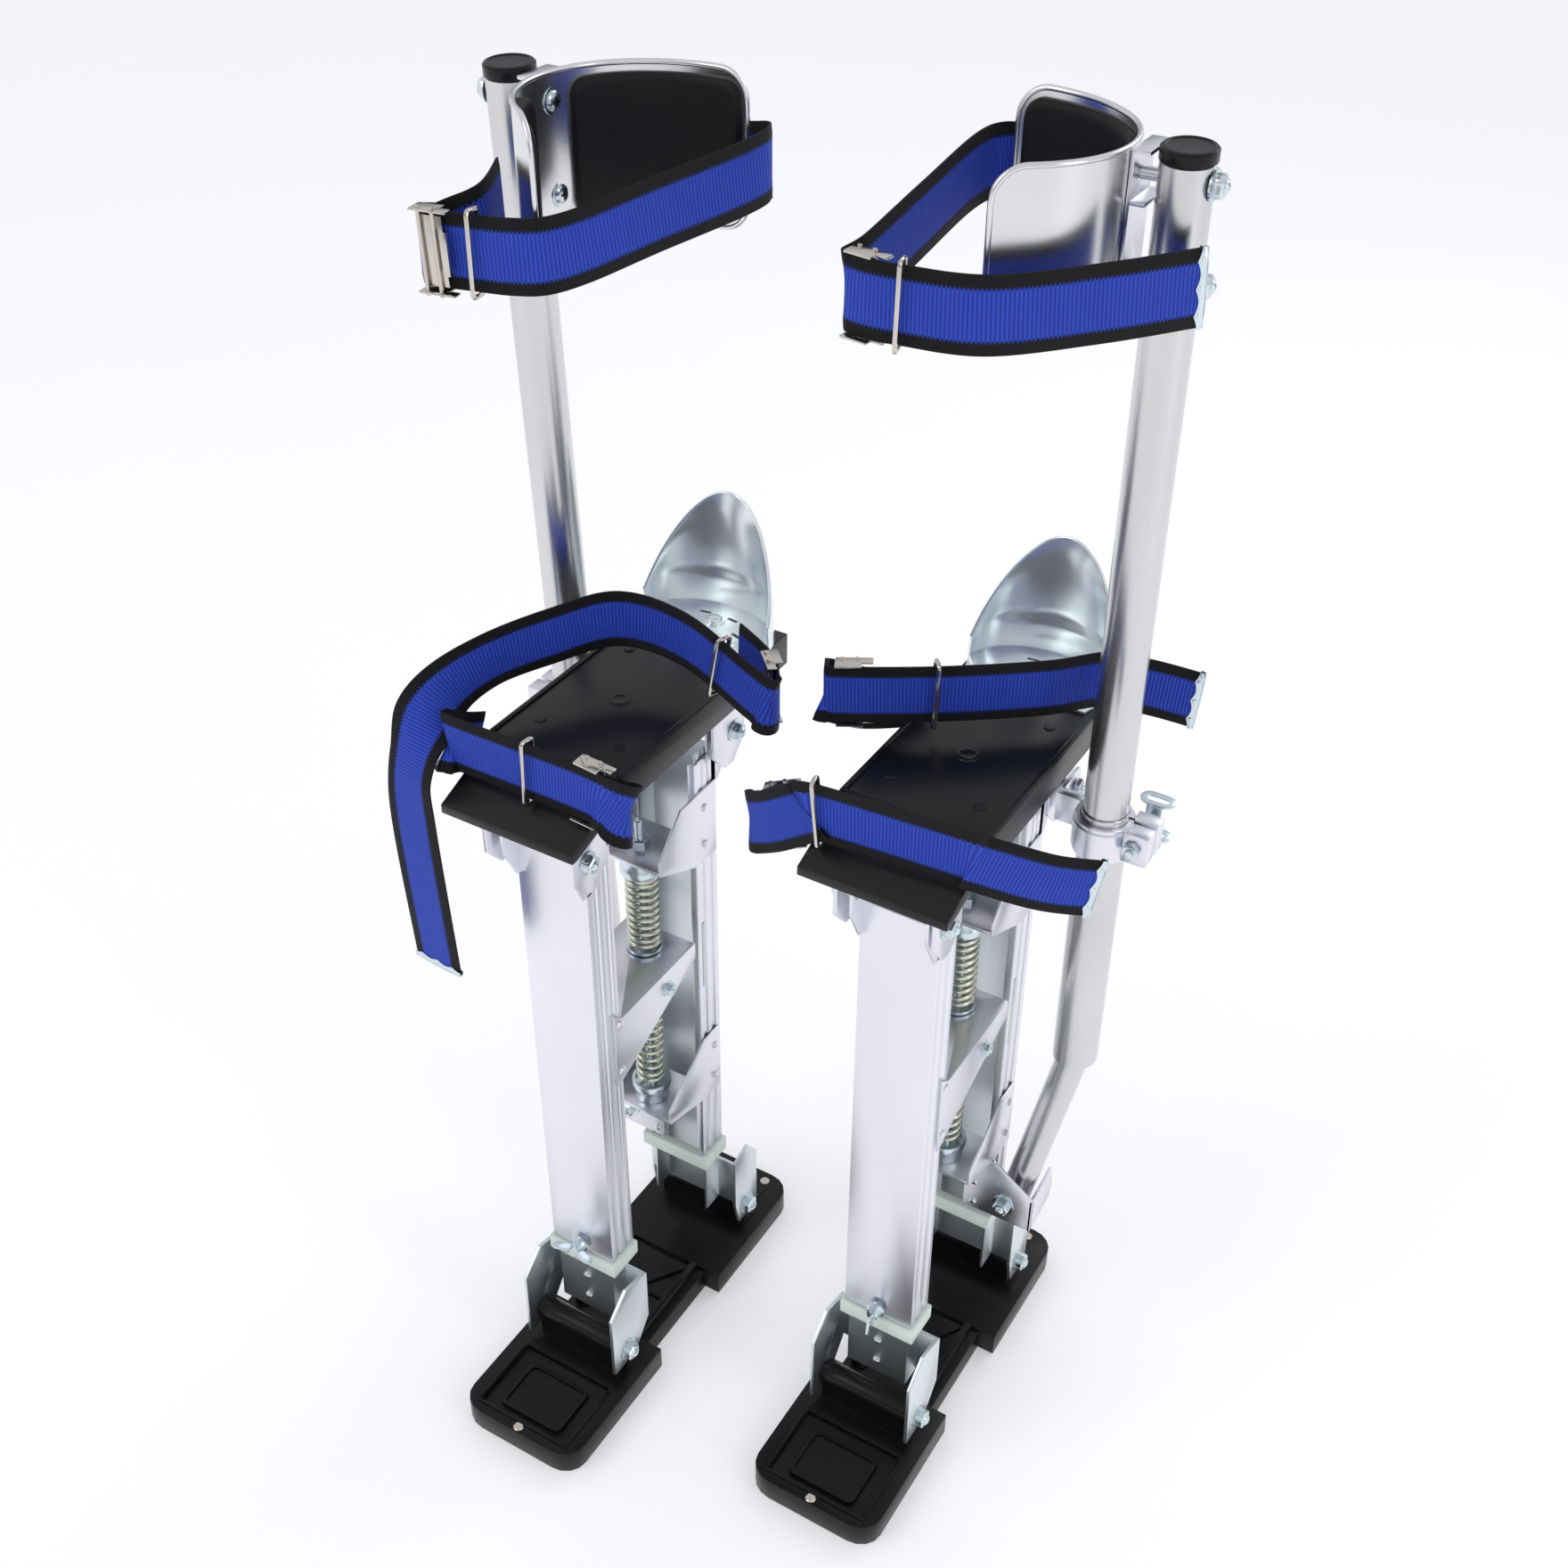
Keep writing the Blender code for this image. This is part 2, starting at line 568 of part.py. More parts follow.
def hanging_bracket(web, ear, pivot_y, reach):
    """U bracket under the deck with the pivot bolt through its ears; web and ear are outlines seen from the side."""
    add = [prism(web, "x", -0.0385, 0.0385)]
    for side in (-1, 1):
        add.append(prism(ear, "x", *sorted((side * 0.0355, side * 0.0385))))
    add.append(cylinder((-0.0420, pivot_y, DECK_PIVOT_Z), (reach, pivot_y, DECK_PIVOT_Z), PIN_R, 12))
    add.append(cylinder((-0.0430, pivot_y, DECK_PIVOT_Z), (-0.0380, pivot_y, DECK_PIVOT_Z), 0.0070, 6))
    add.append(cylinder((reach - 0.0040, pivot_y, DECK_PIVOT_Z), (reach, pivot_y, DECK_PIVOT_Z), 0.0070, 6))
    return add, []


def front_deck_bracket_shapes():
    """Its web lies under the sloping front of the deck."""
    web = [(-0.170, 0.5154), (-0.1255, 0.5247), (-0.1255, 0.5277), (-0.130, 0.5277), (-0.170, 0.5184)]
    ear = [(-0.170, 0.5170), (-0.170, 0.480), (-0.154, 0.466), (-0.142, 0.466), (-0.1255, 0.480), (-0.1255, 0.526)]
    return hanging_bracket(web, ear, FRONT_PIVOT_Y, 0.0430)


def rear_deck_bracket_shapes():
    top = DECK_TOP - DECK_T - GAP
    y0, y1 = 0.0300, 0.0780
    web = [(y0, top - 0.003), (y1, top - 0.003), (y1, top), (y0, top)]
    mid = (y0 + y1) / 2
    ear = [(y0, top - 0.001), (y0, 0.480), (mid - 0.006, 0.466), (mid + 0.006, 0.466), (y1, 0.480), (y1, top - 0.001)]
    return hanging_bracket(web, ear, REAR_PIVOT_Y, 0.0515)


def heel_cup_shapes():
    """Stamped heel plate: curved wall rising to the middle, on a flat foot."""
    columns = 12
    rows = 3
    wall = 0.0018
    base = DECK_TOP + GAP
    verts = []
    for skin in (0.0, wall):
        for i in range(columns + 1):
            turn = math.radians(180.0 * i / columns)
            lift = math.sin(turn)
            height = 0.016 + 0.067 * lift ** 0.8
            for j in range(rows + 1):
                rise = j / rows
                spread = 1.0 - 0.10 * rise * rise
                x = -(0.0560 - skin) * math.cos(turn) * spread
                y = 0.0860 + (0.0440 - skin) * lift * (1 - 0.10 * rise * rise)
                verts.append(tall((x, y, base + height * rise)))
    ring = rows + 1
    layer = (columns + 1) * ring
    faces = []
    for i in range(columns):
        for j in range(rows):
            a = i * ring + j
            b = a + ring
            faces.append((a, a + 1, b + 1, b))
            faces.append((a + layer, b + layer, b + 1 + layer, a + 1 + layer))
    for i in range(columns):
        for j, way in ((0, 1), (rows, -1)):
            a = i * ring + j
            b = a + ring
            quad = (a, b, b + layer, a + layer)
            faces.append(quad if way > 0 else tuple(reversed(quad)))
    for j in range(rows):
        for i, way in ((0, 1), (columns, -1)):
            a = i * ring + j
            quad = (a, a + layer, a + 1 + layer, a + 1)
            faces.append(quad if way > 0 else tuple(reversed(quad)))
    outline = [(0.0475, 0.058)]
    for k in range(9):
        turn = math.radians(180.0 * k / 8)
        outline.append((0.0550 * math.cos(turn), 0.0860 + 0.0430 * math.sin(turn)))
    outline.append((-0.0475, 0.058))
    plate = prism(outline, "z", base, base + wall)
    return [(verts, faces), plate], []


UP = (0, 0, 1)


def upright(*spots):
    """Path of a band that stands on edge all the way."""
    return [(spot, UP) for spot in spots]


def calf_strap_path(label):
    if label == "right":
        return upright((0.0640, -0.0480, 0.846), (0.0500, -0.0870, 0.843), (0.0640, -0.1040, 0.835),
                       (0.0780, -0.1100, 0.833), (0.0740, -0.1180, 0.833), (0.0400, -0.1130, 0.834),
                       (0.0060, -0.1010, 0.835), (-0.0080, -0.0850, 0.836), (-0.0530, 0.0560, 0.850),
                       (-0.0560, 0.0860, 0.853), (-0.0380, 0.0960, 0.850), (0.0050, 0.0900, 0.846))
    return upright((-0.0120, 0.0850, 0.857), (-0.0360, 0.0850, 0.858), (-0.0560, 0.0810, 0.858),
                   (-0.0620, 0.0500, 0.857), (-0.0600, -0.0300, 0.850), (-0.0620, -0.0980, 0.840),
                   (-0.0660, -0.1180, 0.836), (-0.0560, -0.1240, 0.835), (-0.0300, -0.1230, 0.835),
                   (0.0200, -0.1120, 0.836), (0.0700, -0.0640, 0.839), (0.1100, -0.0160, 0.842))


def toe_strap_path(label):
    if label == "right":
        return upright((0.0590, -0.1380, 0.540), (0.0610, -0.1600, 0.548), (0.0520, -0.1690, 0.5535),
                       (-0.0450, -0.1690, 0.5535), (-0.0700, -0.1660, 0.548), (-0.0780, -0.1560, 0.540),
                       (-0.0700, -0.1440, 0.535), (-0.0590, -0.1360, 0.534))
    return upright((0.1260, -0.1180, 0.532), (0.1000, -0.1400, 0.538), (0.0650, -0.1640, 0.550),
                   (0.0450, -0.1700, 0.5535), (-0.0450, -0.1750, 0.5520), (-0.0600, -0.1750, 0.5480),
                    (-0.0860, -0.1720, 0.532),
                   (-0.1050, -0.1640, 0.5210), (-0.1070, -0.1550, 0.5190), (-0.0930, -0.1480, 0.5200),
                   (-0.0590, -0.1360, 0.530))


def heel_strap_path(label):
    if label == "right":
        path = upright((-0.0590, 0.0350, 0.568), (-0.0950, 0.0150, 0.566), (-0.1150, -0.0100, 0.567),
                       (-0.1160, -0.0260, 0.570), (-0.1000, -0.0260, 0.575), (-0.0400, -0.0120, 0.588),
                       (0.0100, -0.0200, 0.592), (0.0400, -0.0650, 0.589), (0.0640, -0.1150, 0.584))
        path.append(((0.0790, -0.1550, 0.570), (0.3, 0.2, 1)))
        path.append(((0.0850, -0.1820, 0.540), (0.8, 0.3, 0.4)))
        path.append(((0.0850, -0.1900, 0.500), (1, 0.1, 0)))
        path.append(((0.0800, -0.1880, 0.385), (1, 0.1, 0)))
        return path
    return upright((-0.0590, 0.0050, 0.547), (-0.0800, -0.0330, 0.556), (-0.0960, -0.0590, 0.568),
                   (-0.0980, -0.0680, 0.573), (-0.0880, -0.0700, 0.574), (-0.0300, -0.0340, 0.576),
                   (0.0300, 0.0180, 0.576), (0.0600, 0.0560, 0.575), (0.0900, 0.0660, 0.574),
                   (0.1230, 0.0720, 0.572))


def stilt(label, side, spot, mats):
    def make(name, mat, shapes):
        build(label + "_" + name, mats[mat], shapes[0], shapes[1], side, spot)

    rear_foot = foot_shapes(REAR_FACE, -1, REAR_PIVOT_Y)
    wing_hole = cylinder((0, FRONT_FACE - 0.01, WING_Z), (0, FRONT_FACE + 0.006, WING_Z), 0.0036, 12)
    make("sole", "black", sole_shapes())
    make("front_strut_foot", "bright", foot_shapes(FRONT_FACE, 1, FRONT_PIVOT_Y))
    make("front_strut_collar", "nylon", collar_shapes(FRONT_FACE, 1))
    make("front_strut", "aluminium", strut_shapes(FRONT_FACE, 1, FRONT_PIVOT_Y, [wing_hole]))
    make("front_wing_bolt", "zinc", wing_bolt_shapes(FRONT_FACE, -1, WING_Z, tall=label == "left"))
    make("rear_strut_foot", "bright", rear_foot)
    make("rear_strut_collar", "nylon", collar_shapes(REAR_FACE, -1))
    make("rear_strut", "aluminium", strut_shapes(REAR_FACE, -1, REAR_PIVOT_Y, []))
    make("centre_plate", "aluminium", centre_plate_shapes())
    make("spring_carrier", "zinc", spring_carrier_shapes())
    make("spring_seat", "zinc", spring_seat_shapes())
    make("upper_spring", "zinc", ([coil(ROD_Y, 0.3412, 0.4029, 0.0115, 0.0020, 7)], []))
    make("lower_spring", "zinc", ([coil(ROD_Y, 0.2158, 0.3318, 0.0105, 0.0018, 11)], []))
    make("leg_tube_bracket", "steel", leg_bracket_shapes())
    make("lower_leg_tube", "aluminium", lower_leg_shapes())
    make("tube_clamp", "aluminium", clamp_shapes())
    make("clamp_wing_bolt", "zinc", clamp_wing_shapes())
    make("upper_leg_tube", "bright", upper_leg_shapes())
    make("tube_cap", "black", cap_shapes())
    make("cuff_bracket", "aluminium", cuff_bracket_shapes())
    make("cuff_shell", "bright", cuff_shapes())
    make("rear_cuff_pad", "rubber", pad_shapes(REAR_PAD, 9))
    make("front_cuff_pad", "rubber", pad_shapes(FRONT_PAD, 6))
    make("foot_deck", "black", deck_shapes())
    make("front_deck_bracket", "aluminium", front_deck_bracket_shapes())
    make("rear_deck_bracket", "aluminium", rear_deck_bracket_shapes())
    make("heel_cup", "steel", heel_cup_shapes())
    make("calf_strap", "webbing", ([ribbon(calf_strap_path(label), CALF_STRAP_H)], []))
    make("toe_strap", "webbing", ([ribbon(toe_strap_path(label), ANKLE_STRAP_H)], []))
    make("heel_strap", "webbing", ([ribbon(heel_strap_path(label), ANKLE_STRAP_H)], []))
    hang_on_axes(label, side, spot)


def joint_axis(name, place, label, spot, side, pieces):
    """Empty on a joint's axis; the pieces that the joint moves hang from it."""
    empty = bpy.data.objects.new(label + "_" + name, None)
    x, y, z = tall(place)
    centre = Vector((spot[0] + side * x, spot[1] + y, z))
    empty.location = centre
    bpy.context.collection.objects.link(empty)
    for piece in pieces:
        item = bpy.data.objects[label + "_" + piece]
        item.data.transform(Matrix.Translation(-centre))
        item.parent = empty


def hang_on_axes(label, side, spot):
    def axis(name, place, *pieces):
        joint_axis(name, place, label, spot, side, pieces)

    axis("stance", (0, 0, 0), "sole")
    axis("front_lean_axis", (0, FRONT_PIVOT_Y, SOLE_PIVOT_Z), "front_strut_foot")
    axis("rear_lean_axis", (0, REAR_PIVOT_Y, SOLE_PIVOT_Z), "rear_strut_foot")
    axis("front_height_axis", (0, FRONT_FACE, STRUT_BOTTOM), "front_strut", "front_strut_collar", "centre_plate")
    axis("rear_height_axis", (0, REAR_FACE, STRUT_BOTTOM), "rear_strut", "rear_strut_collar", "spring_carrier",
         "leg_tube_bracket", "lower_leg_tube", "tube_clamp", "upper_spring", "lower_spring")
    axis("spring_axis", (0, ROD_Y, PLATE_Z), "spring_seat")
    axis("front_wing_axis", (0, FRONT_FACE, WING_Z), "front_wing_bolt")
    axis("clamp_wing_axis", (CLAMP_BOLT_X, leg_point(CLAMP_BOLT_Z)[1], CLAMP_BOLT_Z), "clamp_wing_bolt")
    axis("calf_axis", leg_point(SLEEVE_TOP), "upper_leg_tube", "tube_cap", "cuff_bracket", "cuff_shell",
         "rear_cuff_pad", "front_cuff_pad", "calf_strap")
    axis("deck_axis", (0, REAR_PIVOT_Y, DECK_PIVOT_Z), "foot_deck", "front_deck_bracket", "rear_deck_bracket",
         "heel_cup", "toe_strap", "heel_strap")


def main():
    clear_scene()
    mats = {
        "black": material("black_plastic", (0.012, 0.013, 0.014), 0.42, 0.0),
        "rubber": material("pad_rubber", (0.020, 0.021, 0.023), 0.72, 0.0),
        "aluminium": material("anodised_aluminium", (0.78, 0.79, 0.82), 0.38, 1.0),
        "bright": material("polished_aluminium", (0.74, 0.74, 0.74), 0.18, 1.0),
        "steel": material("galvanised_steel", (0.66, 0.69, 0.71), 0.30, 1.0),
        "zinc": material("zinc_plated_steel", (0.60, 0.64, 0.66), 0.28, 1.0),
        "nylon": material("nylon", (0.80, 0.86, 0.80), 0.45, 0.0),
        "webbing": material("blue_webbing", (0.030, 0.055, 0.42), 0.85, 0.0),
    }
    stilt("left", 1, (CENTRE_X + HALF_STANCE, CENTRE_Y + HALF_STAGGER), mats)
    stilt("right", -1, (CENTRE_X - HALF_STANCE, CENTRE_Y - HALF_STAGGER), mats)


main()
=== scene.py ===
"""Looks of a pair of drywall stilts: metals, webbing, rubber and moulded plastic on the shared frame."""
import math

import bmesh
import bpy
from mathutils import Matrix, Vector


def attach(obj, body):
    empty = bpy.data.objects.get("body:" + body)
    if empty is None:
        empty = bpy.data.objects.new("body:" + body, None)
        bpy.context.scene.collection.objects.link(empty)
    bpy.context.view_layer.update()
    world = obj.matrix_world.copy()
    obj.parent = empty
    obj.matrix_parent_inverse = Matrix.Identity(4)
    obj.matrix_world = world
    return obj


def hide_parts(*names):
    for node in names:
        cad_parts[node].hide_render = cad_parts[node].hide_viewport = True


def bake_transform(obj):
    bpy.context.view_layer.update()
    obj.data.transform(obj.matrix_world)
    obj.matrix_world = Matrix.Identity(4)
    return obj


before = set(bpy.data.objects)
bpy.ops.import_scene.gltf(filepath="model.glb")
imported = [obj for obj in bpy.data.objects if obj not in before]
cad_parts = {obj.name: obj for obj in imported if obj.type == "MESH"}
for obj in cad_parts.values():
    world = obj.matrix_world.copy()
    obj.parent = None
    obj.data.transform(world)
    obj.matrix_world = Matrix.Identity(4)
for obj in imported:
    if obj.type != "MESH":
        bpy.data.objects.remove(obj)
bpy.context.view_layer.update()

bl_info = {
    "name": "Drywall stilts",
    "version": (1, 0, 0),
    "blender": (4, 5, 0),
    "location": "View3D > Sidebar > Stilts",
    "description": "Builds the visible pieces and finishes of a pair of drywall stilts",
    "category": "Object",
}

# ---- stations, the same as the solids': x outward, y back, z up, stretched by tall() ----
DEPTH_SCALE = 0.88
HEIGHT_SCALE = 1.166
STANDS = {"left": (1, (0.11508, 0.09302)), "right": (-1, (-0.12512, 0.02402))}
SOLE_T = 0.0195
FRONT_PIVOT_Y = -0.152
REAR_PIVOT_Y = 0.062
SOLE_PIVOT_Z = 0.043
DECK_PIVOT_Z = 0.49
PIN_CLEAR_R = 0.0046
STRUT_HALF_W = 0.03
STRUT_DEPTH = 0.033
STRUT_WALL = 0.0025
STRUT_BOTTOM = 0.121
STRUT_TOP = 0.5
FRONT_FACE = -0.143
REAR_FACE = 0.046
WING_Z = 0.1295
ROD_Y = -0.022
PLATE_Z = 0.335
PLATE_T = 0.003
LEG_TOP = (0.0863, 0.0035, 0.895)
LEG_SLOPE = (0.00827, -0.0501)
LEG_R = 0.016
SLEEVE_R = 0.0173
SLEEVE_BORE = 0.0163
SLEEVE_Z = (0.293, 0.5045)
BEND_R = 0.0125
BEND_FOOT = (0.0445, 0.032, 0.13)
CLAMP_Z = (0.4745, 0.5)
CLAMP_R = 0.0222
CLAMP_BOLT = (0.1092, 0.488)
CUFF_CENTRE = (-0.03, -0.01)
CUFF_R = 0.088
CUFF_T = 0.0022
CUFF_Z = (0.815, 0.9)
CUFF_ANGLES = (-65.0, 100.0)
PAD_T = 0.005
REAR_PAD = (19.0, 97.0)
FRONT_PAD = (-62.0, -9.0)
CUFF_BOLTS_Z = (0.8855, 0.836)
DECK_TOP = 0.545
STRAP_T = 0.0024
ANKLE_STRAP_H = 0.019
CALF_STRAP_H = 0.02


# ---- sizes and colours to change
def length(name, description, default, high):
    return bpy.props.FloatProperty(name=name, description=description, default=default, min=0.0001, max=high,
        unit="LENGTH")


def number(name, description, default, high=1):
    return bpy.props.FloatProperty(name=name, description=description, default=default, min=0, max=high)


def angle(name, description, degrees):
    return bpy.props.FloatProperty(name=name, description=description, default=math.radians(degrees),
        subtype="ANGLE", unit="ROTATION")


def tint(name, description, *default):
    return bpy.props.FloatVectorProperty(name=name, description=description, default=default, subtype="COLOR",
        size=3, min=0, max=1)


class StiltSizes(bpy.types.PropertyGroup):
    edge_round: length("Edge rounding", "Rounding on cut and bent metal edges", 0.0007, 0.003)
    mould_round: length("Mould rounding", "Rounding on moulded plastic edges", 0.0016, 0.004)
    tube_sides: bpy.props.IntProperty(name="Tube sides", description="Facets round a leg tube", default=72,
        min=16, max=128)
    rib_pitch: length("Webbing rib", "Distance from rib to rib along a strap", 0.0025, 0.01)
    edge_band: number("Edge band", "Share of a strap's width taken by each dark edge", 0.145, 0.4)
    cuff_corner: length("Cuff corner", "Corner radius of the cuff's wings", 0.02, 0.04)


class StiltColours(bpy.types.PropertyGroup):
    webbing: tint("Webbing", "Field of the straps", 0.03, 0.074, 0.57)
    webbing_edge: tint("Webbing edge", "Edge bands of the straps", 0.006, 0.006, 0.008)
    aluminium: tint("Anodised aluminium", "Struts and plates", 0.84, 0.84, 0.9)
    polished: tint("Polished aluminium", "Tubes and cuffs", 0.8, 0.8, 0.8)
    steel: tint("Galvanised steel", "Heel cups", 0.8, 0.85, 0.87)
    zinc: tint("Zinc plate", "Bolts, nuts and cups", 0.66, 0.75, 0.79)
    spring: tint("Spring wire", "Passivated spring wire", 0.72, 0.73, 0.62)
    nylon: tint("Nylon", "Collars on the struts", 0.72, 0.8, 0.73)
    nickel: tint("Nickel", "Buckle hoops and levers", 0.62, 0.58, 0.53)
    plastic: tint("Black plastic", "Soles, decks and caps", 0.0042, 0.0046, 0.0056)
    rubber: tint("Rubber", "Cuff pads", 0.007, 0.0076, 0.009)


class StudioSetup(bpy.types.PropertyGroup):
    lens: number("Lens", "Focal length on a 36 mm sensor", 43.24, 300)
    azimuth: angle("Azimuth", "Turn of the camera round the stilts", 30.8098)
    elevation: angle("Elevation", "Height angle of the camera", 36.193)
    roll: angle("Roll", "Tilt of the horizon", 0.479)
    place: bpy.props.FloatVectorProperty(name="Camera place", description="Where the camera stands", size=3,
        subtype="TRANSLATION", unit="LENGTH", default=(0.5434, -0.9043, 1.375))
    floor_tone: number("Floor tone", "Lightness of the floor", 0.93)
    key_power: number("Key light", "Power of the main softbox", 15.0, 1000)
    surround: number("Surround", "Brightness of the light from all round", 0.7, 10)


# ---- shader maths
class Wire:
    """A node's output socket that can stand in sums."""

    def __init__(self, graph, socket):
        self.graph = graph
        self.socket = socket

    def maths(self, operation, first, second=0.0):
        return self.graph.node("ShaderNodeMath", {"operation": operation}, **{"0": first, "1": second})

    def __add__(self, other):
        return self.maths("ADD", self, other)

    def __sub__(self, other):
        return self.maths("SUBTRACT", self, other)

    def __rsub__(self, other):
        return self.maths("SUBTRACT", other, self)

    def __mul__(self, other):
        return self.maths("MULTIPLY", self, other)

    def __gt__(self, other):
        return self.maths("GREATER_THAN", self, other)

    def __abs__(self):
        return self.maths("ABSOLUTE", self)

    def sine(self):
        return self.maths("SINE", self)

    def sister(self, name):
        """Another output of the same node."""
        return Wire(self.graph, self.socket.node.outputs[name])

    __radd__ = __add__
    __rmul__ = __mul__


class Graph:
    """A node tree, with a short way to add each node."""

    def __init__(self, tree):
        self.tree = tree

    def feed(self, socket, value):
        if isinstance(value, Wire):
            self.tree.links.new(value.socket, socket)
        else:
            socket.default_value = value

    def node(self, kind, settings=None, out=0, **sockets):
        made = self.tree.nodes.new(kind)
        for key, value in (settings or {}).items():
            setattr(made, key, value)
        for key, value in sockets.items():
            self.feed(made.inputs[int(key) if key.isdigit() else key.replace("_", " ")], value)
        return Wire(self, made.outputs[out])

    def mix(self, factor, first, second):
        """Blend of two colours."""
        made = self.tree.nodes.new("ShaderNodeMix")
        made.data_type = "RGBA"
        self.feed(made.inputs[0], factor)
        for socket, value in ((made.inputs[6], first), (made.inputs[7], second)):
            self.feed(socket, value if isinstance(value, Wire) else (*value, 1.0))
        return Wire(self, made.outputs[2])


class Bench(Graph):
    """One material's nodes."""

    def __init__(self, name):
        self.finish = bpy.data.materials.new(name)
        self.finish.use_nodes = True
        super().__init__(self.finish.node_tree)
        self.shader = self.tree.nodes["Principled BSDF"]

    def set(self, **sockets):
        for key, value in sockets.items():
            self.feed(self.shader.inputs[key.replace("_", " ")], value)

    def place(self, scale=(1, 1, 1)):
        spot = self.node("ShaderNodeTexCoord", out="Object")
        return self.node("ShaderNodeMapping", Vector=spot, Scale=scale)

    def noise(self, where, scale, detail=3.0, roughness=0.5):
        return self.node("ShaderNodeTexNoise", Vector=where, Scale=scale, Detail=detail, Roughness=roughness)

    def bump(self, height, strength=1.0):
        return self.node("ShaderNodeBump", Height=height, Strength=strength, Distance=0.001)


def shade(colour, factor):
    return tuple(min(1.0, c * factor) for c in colour)


def metal(name, colour, rough, spread, stretch, streak=0.02, dent=0.0, bare=1.0):
    """Bare or plated metal: drawn streaks along stretch, cloudy tone and a slight waviness."""
    bench = Bench(name)
    fine = bench.noise(bench.place(stretch), 1.0, 4.0, 0.6)
    cloud = bench.noise(bench.place(), 9.0, 2.0)
    specks = bench.noise(bench.place(), 420.0, 2.0, 0.7)
    tone = bench.mix(cloud, shade(colour, 0.9), shade(colour, 1.06))
    worn = (specks > 0.72) * 0.35
    bench.set(Base_Color=bench.mix(worn, tone, shade(colour, 0.72)), Metallic=bare,
        Roughness=fine * spread + cloud * (spread * 0.6) + (rough - spread * 0.8))
    height = fine * streak + specks * 0.008
    if dent:
        height = height + bench.noise(bench.place(), 26.0, 1.0) * dent
    bench.set(Normal=bench.bump(height))
    return bench.finish


def moulded(name, colour, rough, grain, grain_height, gloss=0.24):
    """Moulded plastic or rubber: fine grain, uneven gloss and a little dust."""
    bench = Bench(name)
    pebble = bench.noise(bench.place(), grain, 2.0, 0.55)
    cloud = bench.noise(bench.place(), 14.0, 4.0, 0.6)
    dust = bench.noise(bench.place(), 900.0, 1.0)
    veil = (dust > 0.7) * cloud * 0.3
    tone = bench.mix(cloud, shade(colour, 0.6), shade(colour, 1.3))
    bench.set(Base_Color=bench.mix(veil, tone, (0.05, 0.05, 0.05)), Roughness=cloud * 0.14 + pebble * 0.06
        + (rough - 0.1))
    bench.shader.inputs["Specular IOR Level"].default_value = gloss
    bench.set(Normal=bench.bump(pebble * grain_height))
    return bench.finish


def nylon_finish(colour):
    bench = Bench("nylon")
    cloud = bench.noise(bench.place(), 60.0, 3.0)
    bench.set(Base_Color=bench.mix(cloud, shade(colour, 0.88), shade(colour, 1.12)),
        Roughness=cloud * 0.15 + 0.34)
    bench.shader.inputs["Subsurface Weight"].default_value = 0.15
    bench.shader.inputs["Subsurface Radius"].default_value = (0.003, 0.003, 0.003)
    bench.set(Normal=bench.bump(bench.noise(bench.place(), 700.0, 2.0) * 0.03))
    return bench.finish


def webbing_finish(field, edge, pitch, band):
    """Woven strap: ribs across, chevron yarns, dark edge bands with a toothed border."""
    bench = Bench("blue_webbing")
    run = bench.node("ShaderNodeSeparateXYZ", out="X", Vector=bench.node("ShaderNodeTexCoord", out="UV"))
    across = run.sister("Y")
    turn = run * (2 * math.pi / pitch)
    rib = abs((turn * 0.5).sine())
    chevron = abs((turn + across * 95.0).sine())
    other = abs((turn - across * 95.0).sine())
    tooth = run.maths("PINGPONG", run, pitch * 0.5)
    reach = abs(across - 0.5) - (0.5 - band) + tooth * (0.11 / pitch)
    dark = reach > 0.0
    fuzz = bench.noise(bench.place(), 2600.0, 2.0, 0.7)
    cloud = bench.noise(bench.place(), 45.0, 3.0)
    # painted shade: the blue is darkest in the grooves between the ribs and along the chevron yarns
    blue = bench.mix(rib * 0.75 + chevron * 0.25, shade(field, 0.22), shade(field, 1.25))
    blue = bench.mix(cloud * 0.35, blue, shade(field, 0.7))
    # painted shade: the edge bands darken along the crossing yarn lines; fuzz adds random tone
    black = bench.mix(other * 0.6 + fuzz * 0.4, shade(edge, 0.4), shade(edge, 1.5))
    bench.set(Base_Color=bench.mix(dark, blue, black), Roughness=fuzz * 0.22 + 0.52)
    bench.shader.inputs["Specular IOR Level"].default_value = 0.22
    bench.shader.inputs["Sheen Weight"].default_value = 0.03
    bench.shader.inputs["Sheen Roughness"].default_value = 0.4
    height = (rib * 0.55 + chevron * 0.16) * (1 - dark) + dark * (0.2 + other * 0.5) + fuzz * 0.06
    bench.set(Normal=bench.bump(height, 0.9))
    return bench.finish


